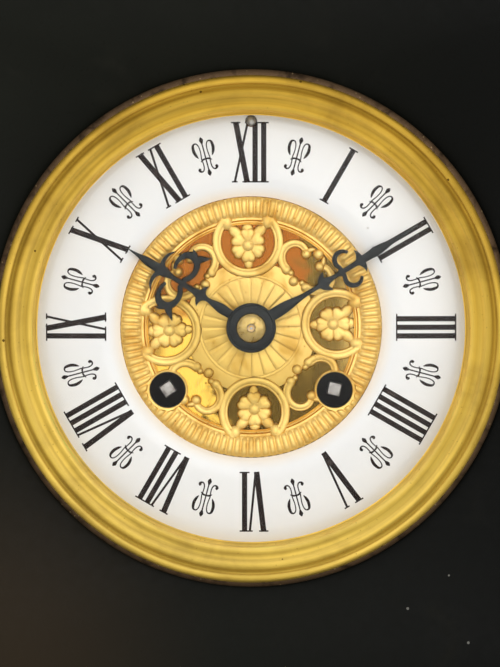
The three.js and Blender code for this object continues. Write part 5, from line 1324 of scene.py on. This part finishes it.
def quarter_ornament():
    """A quarter of the pierced work, with its frame at twelve and its scrolls to the right."""
    form = Form()
    high = GILT_FLOOR - GILT_FACE

    def moulding(path, halves):
        form.add(*sweep(path, halves, GILT_FLOOR, high + 0.6, FRAME_MOULDING))

    def boss(x, z, across, along, up, skirt=0.7, turn=0, point=0):
        form.add(*dome(x, z, across, along, GILT_FLOOR, high + up, turn, skirt=high * skirt,
                       point=point))

    # Open horseshoe frame with a knob on each end
    count = 44
    path = [Vector((0, FRAME_OFFSET)) + Vector(polar(FRAME_RADIUS, 42 + 276 * i / count))
            for i in range(count + 1)]
    moulding(path, [1.26] * len(path))
    for side in (-1, 1):
        boss(side * 5.4, 28.0, 1.85, 2.25, 0.8, 0.6, side * 10)

    # Flower, a lobe outward, a petal that joins the frame, and two ears
    form.add(*flower(0, FLOWER_OFFSET, GILT_FLOOR, high))
    boss(0, FLOWER_OFFSET + 4.6, 1.5, 1.3, 0.35, 0.8)
    boss(0, FLOWER_OFFSET - 4.8, 1.25, 1.6, 0.3, 0.8, 180, 0.3)
    for side in (-1, 1):
        boss(side * 3.3, FLOWER_OFFSET + 3.7, 1.5, 2.4, 0.5, 0.8, side * 44, 0.7)

    # Two scrolls that mirror each other across the diagonal, each with a knob at its end,
    # two beads, and a leaf that runs from its back to the band
    for side in (-1, 1):
        middle = polar(22.6, 45 + side * 10.3)
        steps = 34
        path, halves = [], []
        for i in range(steps + 1):
            t = i / steps
            x, z = polar(4.5 * (1 - 0.44 * t), 45 - side * (173 + 225 * t))
            path.append((middle[0] + x, middle[1] + z))
            halves.append(1.22 - 0.3 * t)
        moulding(path, halves)
        boss(*path[-1], 1.45, 1.45, 0.9)
        boss(*polar(17.9, 45 + side * 11.2), 1.45, 1.45, 0.7)
        boss(*polar(17.9, 45 + side * 6.4), 0.95, 0.95, 0.55)
        boss(*polar(25.9, 45 + side * 5.2), 0.8, 1.7, 0.5, turn=45 - side * 35, point=0.5)
    boss(*polar(26.4, 45), 1.5, 1.6, 0.85, turn=45)
    boss(*polar(16.6, 45), 1.45, 1.5, 0.7, turn=45)
    return form


class CLOCK_OT_gilt(bpy.types.Operator):
    """Pierced gilt centre: fluted band, fan, four framed flowers and the scrolls between them"""
    bl_idname = "clock.gilt"
    bl_label = "Gilt centre"

    def execute(self, context):
        gilt = finish("gilt")
        sizes = context.scene.clock_dial
        plain = band_form()
        ring_strip(plain, 28.3, 0.95, GILT_FLOOR - GILT_FACE + 0.55, STEPPED)
        plain.take(collar_form())
        plain.turn([(FAN_RADIUS + out, GILT_FACE + depth) for out, depth in (
            (-0.15, 0.2), (-0.05, -0.2), (0.3, -0.3), (0.65, -0.2), (0.75, 0.2))], 160)
        for at in HOLE_AT:
            plain.turn([(HOLE_RADIUS, GILT_FLOOR), (HOLE_RADIUS, GILT_FACE - 0.25),
                        (HOLE_RADIUS + 0.12, GILT_FACE - 0.45),
                        (HOLE_RADIUS + 0.35, GILT_FACE - 0.5),
                        (HOLE_RADIUS + 0.6, GILT_FACE - 0.3),
                        (HOLE_RADIUS + 0.66, GILT_FLOOR)], 64, at)
        base = piece_from("gilt_base", plain, gilt)
        flutes = ring_of("flutes", flute_form(sizes.flute_count), sizes.flute_count, 0, gilt)
        shorten_flutes(flutes)
        fan = ring_of("fan", fan_blade(), FAN_COUNT, 7.5, gilt)
        quarters = ring_of("quarters", quarter_ornament(), 4, GILT_TURN, gilt)
        cut(quarters, *(drill(HOLE_RADIUS + 0.2, -3, 9, 64, at) for at in HOLE_AT))
        whole = join("gilt_centre", base, flutes, fan, quarters)
        seat(whole, "case", "gilt", "gilt_dial_centre")

        # Dark bores behind the two winding holes, linings that paint shade into the holes
        bores = Form()
        for at in HOLE_AT:
            bores.turn([(HOLE_RADIUS - 0.02, GILT_FACE + 0.4), (HOLE_RADIUS - 0.02, 7.4),
                        (HOLE_RADIUS - 0.3, 7.4), (HOLE_RADIUS - 0.3, GILT_FACE + 0.4)], 64, at)
        make("winding_bores", bores, finish("hole"), "case", "brass")
        return {"FINISHED"}


# Dial plate behind the piercing

class CLOCK_OT_plate(bpy.types.Operator):
    """Polished brass plate behind the enamel and the pierced centre"""
    bl_idname = "clock.plate"
    bl_label = "Dial plate"

    def execute(self, context):
        dress(NODES["dial_back_plate"], finish("polished"))
        return {"FINISHED"}


# Hands, drawn pointing at twelve: (out, half width) from the boss to the tip

MINUTE_BLADE = [
    (5.5, 1.6), (8.5, 1.56), (10.8, 1.45), (12.8, 1.18), (15.6, 0.72), (18.2, 0.6), (20.8, 0.6),
    (21.6, 1.0), (22.6, 1.42), (23.6, 1.15), (24.6, 0.8), (25.8, 0.6), (27.6, 0.6), (30.2, 0.68),
    (32.6, 0.72), (33.8, 1.05), (35.4, 1.05), (37.4, 1.15), (38.8, 1.3), (41.0, 1.1), (43.2, 0.72),
    (47, 0.42), (51.9, 0.07),
]
MINUTE_SPIKES = [([(0, 22.2), (1.1, 22.5), (2.75, 23.9)], [1.1, 0.9, 0.08]),
                 ([(0, 33.9), (1.1, 34.2), (2.1, 34.3), (3.3, 34.0)], [1.1, 0.85, 0.5, 0.05])]
HOUR_BLADE = [
    (5.0, 1.1), (7.4, 1.22), (9.3, 1.34), (11, 1.05), (13.3, 0.6), (14.4, 0.72), (15.5, 1.4),
    (16.8, 1.2), (18.2, 0.78), (21.5, 0.68), (24.4, 0.62), (25.8, 0.85), (27.2, 1.3), (28.6, 1.42),
    (30.0, 1.2), (32.2, 1.12), (33.9, 0.9), (35.5, 0.52), (39.1, 0.06),
]
HOUR_SPIKES = [([(0, 15.8), (1.2, 15.9), (2.0, 15.8), (3.0, 15.4)], [1.1, 0.8, 0.5, 0.05]),
               ([(0, 28.0), (1.6, 28.9), (3.2, 29.1), (4.8, 28.7), (6.3, 27.6)],
                [1.2, 0.66, 0.5, 0.36, 0.05])]


def spikes(strips):
    """Pointed side strips of a blade, on both sides of it."""
    drawn = []
    for side in (-1, 1):
        for path, halves in strips:
            line = smooth_line([(side * x, z) for x, z in path], 5)
            drawn.append((line, taper(len(line), halves)))
    return drawn


def blade_form(stations, front, back):
    """A blade that swells and narrows along its length."""
    line = smooth_line(stations, 5)
    return Form().add(*sweep([(0, p.x) for p in line], [max(p.y, 0.05) for p in line], back,
                             back - front, HAND_SECTION, even=True))


def hand_piece(name, blade, strips, boss, bore, bearing, front, back, material):
    """A hand cut from sheet: its blade, curls and leaves joined to one boss."""
    edge = 0.16
    disc = Form().turn([(0, front), (boss - edge, front), (boss, front + edge),
                        (boss, back - edge), (boss - edge, back), (0, back)], 72, closed=False)
    forms = [disc, blade_form(blade, front, back)]
    for path, halves in strips:
        forms.append(Form().add(*sweep([Vector(p) for p in path], halves, back, back - front,
                                       HAND_SECTION, even=True)))
    whole, *parts = [piece_from(name, form, material) for form in forms]
    for part in parts:
        combine(whole, part, "UNION")
    cut(whole, drill(bore, front - 1, back + 1, 40))
    whole.data.transform(Matrix.Translation(CENTRE) @ Matrix.Rotation(bearing, 4, "Y")
                         @ Matrix.Translation(-CENTRE))
    return whole


def curl(side, root, middle, radii, first, last, halves, steps=28):
    """A curl beside the blade, as a path and its half widths."""
    path = [Vector((0, root - 0.35)), Vector((side * 0.35, root))]
    for i in range(steps + 1):
        angle = math.radians(first + (last - first) * i / steps)
        path.append(Vector((side * (middle[0] + radii[0] * math.sin(angle)),
                            middle[1] + radii[1] * math.cos(angle))))
    return path, taper(len(path), halves)


# Curls: root, middle, radii, first and last angle, half widths along them
MINUTE_CURL = (27.7, (2.65, 30.2), (2.25, 2.25), -135, -335, [0.5, 0.64, 0.66, 0.62, 0.54, 0.4])
HOUR_CURL = (21.4, (4.1, 23.2), (3.45, 2.73), -122, -393,
             [0.66, 0.72, 0.74, 0.92, 1.04, 0.84, 0.6, 0.42])
HOUR_LEAVES = [([(6.7, 22.2), (7.9, 21.0), (8.8, 19.9), (9.8, 18.6)], [1.0, 0.95, 0.55, 0.05]),
               ([(6.7, 22.7), (7.9, 22.9), (8.6, 23.4), (9.2, 24.2)], [1.0, 0.85, 0.5, 0.05])]


class CLOCK_OT_hands(bpy.types.Operator):
    """Hour and minute hands of blued steel, under a domed brass washer"""
    bl_idname = "clock.hands"
    bl_label = "Hands"

    def execute(self, context):
        sizes = context.scene.clock_dial
        blued = finish("blued")
        for node, body, blade, shape, leaves, boss, bore, bearing in (
                ("hour_hand", "hour", HOUR_BLADE, HOUR_CURL, HOUR_LEAVES + HOUR_SPIKES,
                 5.4, 3.2, sizes.hour_bearing),
                ("minute_hand", "centre", MINUTE_BLADE, MINUTE_CURL, MINUTE_SPIKES,
                 6.6, 2.0, sizes.minute_bearing)):
            curls = [curl(side, *shape) for side in (-1, 1)]
            piece = hand_piece(node + "_cut", blade, curls + spikes(leaves), boss, bore, bearing,
                               *span(node), blued)
            seat(piece, body, "blued_steel", node)

        back = span("hand_washer")[1]
        collet = Form().turn([(3.9, back - 0.02), (4.0, back - 0.35), (5.2, back - 0.4),
                              (5.9, back - 0.2), (6.0, back + 0.15), (5.9, back + 0.2),
                              (3.9, back + 0.2)], 80)
        make("minute_boss_ring", collet, blued, "centre", "blued_steel")
        domed = smooth_line([(3.85, back), (3.8, back - 0.35), (3.2, back - 0.68),
                             (2.2, back - 0.92), (1.2, back - 1.0)], 5)
        washer = Form().turn(domed + [(1.2, back)], 72)
        make("domed_washer", washer, finish("washer"), "centre", "brass", "hand_washer")
        tip = Form().turn([(0, -2.13), (0.35, -2.13), (0.45, -2.05), (0.8, -2.12),
                           (1.06, -1.9), (1.06, -0.7), (0, -0.7)], 32, closed=False)
        make("centre_tip", tip, finish("steel"), "centre", "steel")
        return {"FINISHED"}


# Rear ring, rear door, bell and pendulum bob

class CLOCK_OT_rear(bpy.types.Operator):
    """Brass ring let into the back of the case, and the round door that closes it"""
    bl_idname = "clock.rear"
    bl_label = "Rear door"

    def execute(self, context):
        steps = context.scene.clock_dial.ring_steps
        hinge = -64.5, span("rear_ring")[1] - KNUCKLE
        front, back = span("rear_ring")[0], hinge[1] - 0.3
        flange = reach("rear_ring")
        ring = Form().turn([
            (55.4, front), (55.4, back - 0.15), (55.55, back), (flange - 0.4, back),
            (flange - 0.1, back - 0.12), (flange, back - 0.4), (flange, back - 1.2),
            (57.2, back - 1.2), (57.2, front)], steps)
        for low in OUTER_LOWS:
            ring.take(knuckle_form(hinge, low, low + OUTER_LONG, -60.4, back - 1.2, back))
        for side in (-1, 1):
            ring.add(*lug(side, 50.6, 56.3, front, front + 1.4, 6))
        make("rear_mount", ring, finish("spun"), "case", "brass", "rear_ring")

        inside = hinge[1]
        outside = inside + 1
        door = Form().turn([
            (0, inside), (57.8, inside), (58, inside + 0.2), (58, outside - 0.3),
            (57.9, outside - 0.08), (57.6, outside), (0, outside)], steps, closed=False)
        door.take(knuckle_form(hinge, -MIDDLE_HALF, MIDDLE_HALF, -56.4, inside, outside))
        door.add(*pin_form(hinge))
        knob = smooth_line([(1.5, outside - 0.2), (1.3, outside + 0.7), (1.5, outside + 1.2),
                            (2.4, outside + 1.6), (2.6, outside + 2.1), (2.3, outside + 2.7),
                            (1.2, outside + 3.0)], 5)
        door.turn([(0, outside - 0.2)] + knob + [(0, outside + 3.0)], 40, (52, 0), closed=False)
        make("rear_cover", door, finish("spun"), "rear_door", "brass", "rear_door")
        return {"FINISHED"}


class CLOCK_OT_bell(bpy.types.Operator):
    """Cast bell on its stand, and the lens-shaped bob of the pendulum"""
    bl_idname = "clock.bell"
    bl_label = "Bell and bob"

    def execute(self, context):
        front, back = span("bell")
        middle = 4.0
        radius = reach("bell") - middle
        deep = back - front
        outer = smooth_line([
            (radius, front + 0.3), (radius * 0.975, front + deep * 0.25),
            (radius * 0.93, front + deep * 0.55), (radius * 0.8, front + deep * 0.8),
            (radius * 0.6, front + deep * 0.93), (radius * 0.3, back - 0.05), (1.7, back)], 6)
        inner = smooth_line([
            (1.7, back - 1.2), (radius * 0.3, back - 1.25), (radius * 0.57, back - 2.4),
            (radius * 0.76, front + deep * 0.74), (radius * 0.885, front + deep * 0.5),
            (radius * 0.93, front + deep * 0.22), (radius - 1.25, front + 0.2),
            (radius - 0.9, front), (radius - 0.3, front)], 6)
        cup = Form().turn(outer + inner, 96, (0, middle))
        make("bell_cup", cup, finish("bell"), "case", "bell_metal", "bell")

        low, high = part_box("pendulum_bob")
        half = (high.y - low.y) / 2 / MM
        x, depth, z = middle_of("pendulum_bob")
        size = (high.x - low.x) / 2 / MM
        lens = [(size * math.sin(math.radians(a)), -half * (0.1 + 0.9 * math.cos(math.radians(a))))
                for a in range(6, 91, 6)]
        outline = lens + [(r, -y) for r, y in reversed(lens)]
        bob = Form().turn([(0, depth - half)] + [(r, depth + y) for r, y in outline]
                          + [(0, depth + half)], 72, (x, z), closed=False)
        make("bob_lens", bob, finish("brass"), "pendulum", "brass", "pendulum_bob")
        return {"FINISHED"}


# Movement: CAD pieces with their finishes

STEEL_NODES = ("going_winding_arbor", "strike_winding_arbor", "going_click", "strike_click",
               "pallet_anchor", "cannon_pinion", "suspension_spring", "regulator_arbor",
               "regulator_screw", "bell_stand", "hammer", "locking_lever")


# Winding squares: length in millimetres, size beside the CAD model's, and broken edge in metres
SQUARE_LONG = 3.2
SQUARE_SHARE = 0.92
SQUARE_EDGE = 0.0003


def split_arbor(node, turn):
    """A winding arbor as two pieces: its clean square, and the ratchet and arbor behind it, made
    dark as a painted shadow.
    """
    low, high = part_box(node)
    limit = CENTRE.y + (span(node)[0] + SQUARE_LONG) * MM
    # The part behind the square is dark, as a painted shadow.
    for kind in ("square", "painted_shadow"):
        mesh = merged_copy(node, node + "_" + kind)
        shape = bmesh.new()
        shape.from_mesh(mesh)
        keep_front = kind == "square"
        bmesh.ops.bisect_plane(shape, geom=shape.verts[:] + shape.edges[:] + shape.faces[:],
                               plane_co=(0, limit, 0), plane_no=(0, 1, 0),
                               clear_outer=keep_front, clear_inner=not keep_front)
        bmesh.ops.holes_fill(shape, edges=[e for e in shape.edges if e.is_boundary])
        shape.to_mesh(mesh)
        shape.free()
        if keep_front:
            axis = Vector(((low.x + high.x) / 2, 0, (low.z + high.z) / 2))
            mesh.transform(Matrix.Translation(axis) @ Matrix.Rotation(turn, 4, "Y")
                           @ Matrix.Diagonal((SQUARE_SHARE, 1, SQUARE_SHARE, 1))
                           @ Matrix.Translation(-axis))
        piece = object_from(node + "_" + kind, mesh, finish(kind))
        if keep_front:
            break_edges(piece, SQUARE_EDGE, 30)
        seat(piece, node, "steel", *([node] if keep_front else []))


class CLOCK_OT_movement(bpy.types.Operator):
    """Trains, plates and straps, in brass and steel"""
    bl_idname = "clock.movement"
    bl_label = "Movement"

    def execute(self, context):
        split_arbor("going_winding_arbor", 0.0)
        split_arbor("strike_winding_arbor", math.radians(43))
        for name, node in NODES.items():
            if node.hide_render or name == "dial_back_plate":
                continue
            kind = "steel" if name in STEEL_NODES else "brass"
            dress(node, finish("square" if name == "regulator_arbor" else kind))
        return {"FINISHED"}


def hold(name, data, place, facing):
    """Puts a lamp or camera at a place, facing one way."""
    holder = bpy.data.objects.new(name, data)
    holder.location = place
    holder.rotation_mode = "QUATERNION"
    holder.rotation_quaternion = facing.to_track_quat("-Z", "Y")
    bpy.context.scene.collection.objects.link(holder)
    return holder


class CLOCK_OT_stage(bpy.types.Operator):
    """Pale floor, soft light and the camera"""
    bl_idname = "clock.stage"
    bl_label = "Stage"

    def execute(self, context):
        scene = context.scene
        studio = scene.clock_stage
        floor = Form().turn([(0, 0), (3000, 0)], 96, closed=False)
        mesh = bpy.data.meshes.new("floor")
        mesh.from_pydata([(x * MM, z * MM, 0) for x, _, z in floor.points], [],
                         [list(f) for f in floor.faces])
        ground = object_from("floor", mesh, floor_material())
        ground.location.z = -0.0002

        world = bpy.data.worlds.new("studio")
        scene.world = world
        world.use_nodes = True
        world.node_tree.nodes.clear()
        nodes = Nodes(world.node_tree)
        path = nodes.add("ShaderNodeLightPath").outputs
        seen = nodes.math("MAXIMUM", path["Is Camera Ray"], path["Is Transmission Ray"])
        lit = nodes.add("ShaderNodeBackground", {"Color": (1, 1, 1, 1), "Strength": studio.sky})
        shown = nodes.add("ShaderNodeBackground", {"Color": (0.9, 0.9, 0.9, 1), "Strength": 1.0})
        both = nodes.add("ShaderNodeMixShader", {0: seen, 1: lit.outputs[0], 2: shown.outputs[0]})
        nodes.add("ShaderNodeOutputWorld", {"Surface": both.outputs[0]})

        # Lamps: place, aim, width and power
        for name, place, aim, width, power in (
            ("key", (-0.25, -2.0, 0.42), (0, 0, 0.14), 1.4, studio.key),
            ("fill", (0.6, -1.8, 0.3), (0, 0, 0.12), 1.2, studio.fill),
            ("top", (0.1, 0.1, 1.3), (0, 0, 0.1), 0.9, studio.top),
            ("rear", (0.4, 1.1, 0.6), (0, 0, 0.12), 0.9, studio.rear),
        ):
            lamp = bpy.data.lights.new(name, "AREA")
            lamp.energy = power
            lamp.size = width
            hold(name, lamp, place, Vector(aim) - Vector(place))

        camera = bpy.data.cameras.new("camera")
        camera.lens = studio.lens
        camera.sensor_width = 36
        camera.clip_start = 0.01
        camera.clip_end = 50
        camera.dof.use_dof = False
        aim = CENTRE + Vector((-studio.beside, 0, -studio.below))
        back = Vector((math.sin(studio.azimuth) * math.cos(studio.elevation),
                       -math.cos(studio.azimuth) * math.cos(studio.elevation),
                       math.sin(studio.elevation)))
        scene.camera = hold("camera", camera, aim + back * studio.distance, -back)
        scene.view_settings.view_transform = "Standard"
        return {"FINISHED"}


# Settings

def number(name, text, default, **options):
    """A setting that is one number."""
    return bpy.props.FloatProperty(name=name, description=text, default=default, **options)


def length(name, text, default):
    """A setting that is a length in metres."""
    return number(name, text, default, min=0.0, unit="LENGTH", precision=5)


def shade_of(name, text, default):
    """A setting that is a colour as it shows on screen."""
    return bpy.props.IntVectorProperty(name=name, description=text, default=default, min=0,
                                       max=255, size=3)


def count_of(name, text, default, least):
    """A setting that is a whole number."""
    return bpy.props.IntProperty(name=name, description=text, default=default, min=least)


class ClockCase(bpy.types.PropertyGroup):
    edge_break: length("Edge break", "Width of the slate's broken edges", 0.0005)


class ClockDial(bpy.types.PropertyGroup):
    ring_steps: count_of("Ring steps", "Facets round a turned ring", 160, 24)
    flute_count: count_of("Flutes", "Flutes round the gilt band", 108, 12)
    numeral_outer: length("Numeral top", "Radius of the numerals' outer ends", 0.0545)
    numeral_inner: length("Numeral foot", "Radius of the numerals' feet", 0.0385)
    regulator_hole: length("Regulator hole", "Radius of the hole in the twelve", 0.00152)
    regulator_height: length("Regulator height", "Height of the hole over the dial's middle",
                             0.0547)
    hour_bearing: number("Hour hand", "Bearing of the hour hand", math.radians(302.7),
                         subtype="ANGLE")
    minute_bearing: number("Minute hand", "Bearing of the minute hand", math.radians(58.4),
                           subtype="ANGLE")


class ClockColours(bpy.types.PropertyGroup):
    slate: shade_of("Slate", "Black slate", (16, 17, 11))
    enamel: shade_of("Enamel", "White enamel", (246, 245, 242))
    gilt: shade_of("Gilt", "Matt gilt of the centre", (246, 209, 122))
    bezel: shade_of("Bezel", "Gilt of the bezel", (222, 184, 84))
    brass: shade_of("Brass", "Lacquered brass", (196, 156, 82))
    steel: shade_of("Steel", "Polished steel", (168, 168, 166))
    blued: shade_of("Blued steel", "Steel of the hands", (35, 37, 36))


class ClockStage(bpy.types.PropertyGroup):
    sky: number("Sky", "Even light from all sides", 0.88)
    key: number("Key lamp", "Power of the key", 4.6, unit="POWER")
    fill: number("Fill lamp", "Power of the fill", 4.4, unit="POWER")
    top: number("Top lamp", "Power of the top lamp", 2.0, unit="POWER")
    rear: number("Rear lamp", "Power of the rear lamp", 3.0, unit="POWER")
    lens: number("Lens", "Focal length in millimetres", 305.4)
    distance: length("Distance", "From the camera to the dial", 1.5)
    below: length("Aim below", "How far under the dial's middle the camera aims", 0.00148)
    beside: length("Aim beside", "How far left of the dial's middle the camera aims", 0.0003)
    azimuth: number("Azimuth", "Turn of the camera", 0.0, subtype="ANGLE")
    elevation: number("Elevation", "Camera above the dial", math.radians(3.0), subtype="ANGLE")


OPERATORS = (CLOCK_OT_case, CLOCK_OT_bezel, CLOCK_OT_dial, CLOCK_OT_gilt, CLOCK_OT_plate,
             CLOCK_OT_hands, CLOCK_OT_rear, CLOCK_OT_bell, CLOCK_OT_movement, CLOCK_OT_stage)
GROUPS = {"clock_case": ClockCase, "clock_dial": ClockDial, "clock_colours": ClockColours,
          "clock_stage": ClockStage}


class CLOCK_PT_panel(bpy.types.Panel):
    """Lists the clock's steps in the sidebar"""
    bl_idname = "CLOCK_PT_panel"
    bl_label = "Mantel clock"
    bl_space_type = "VIEW_3D"
    bl_region_type = "UI"
    bl_category = "Clock"

    def draw(self, context):
        for operator in OPERATORS:
            self.layout.operator(operator.bl_idname)


register_classes, unregister_classes = bpy.utils.register_classes_factory(
    (*GROUPS.values(), *OPERATORS, CLOCK_PT_panel))


def register():
    register_classes()
    for name, group_class in GROUPS.items():
        setattr(bpy.types.Scene, name, bpy.props.PointerProperty(type=group_class))


def unregister():
    for name in GROUPS:
        delattr(bpy.types.Scene, name)
    unregister_classes()


def main():
    register()
    bpy.ops.clock.stage()
    for operator in OPERATORS[:-1]:
        name = operator.bl_idname.split(".")[1]
        getattr(bpy.ops.clock, name)()
    bpy.context.view_layer.update()


if __name__ == "__main__":
    main()
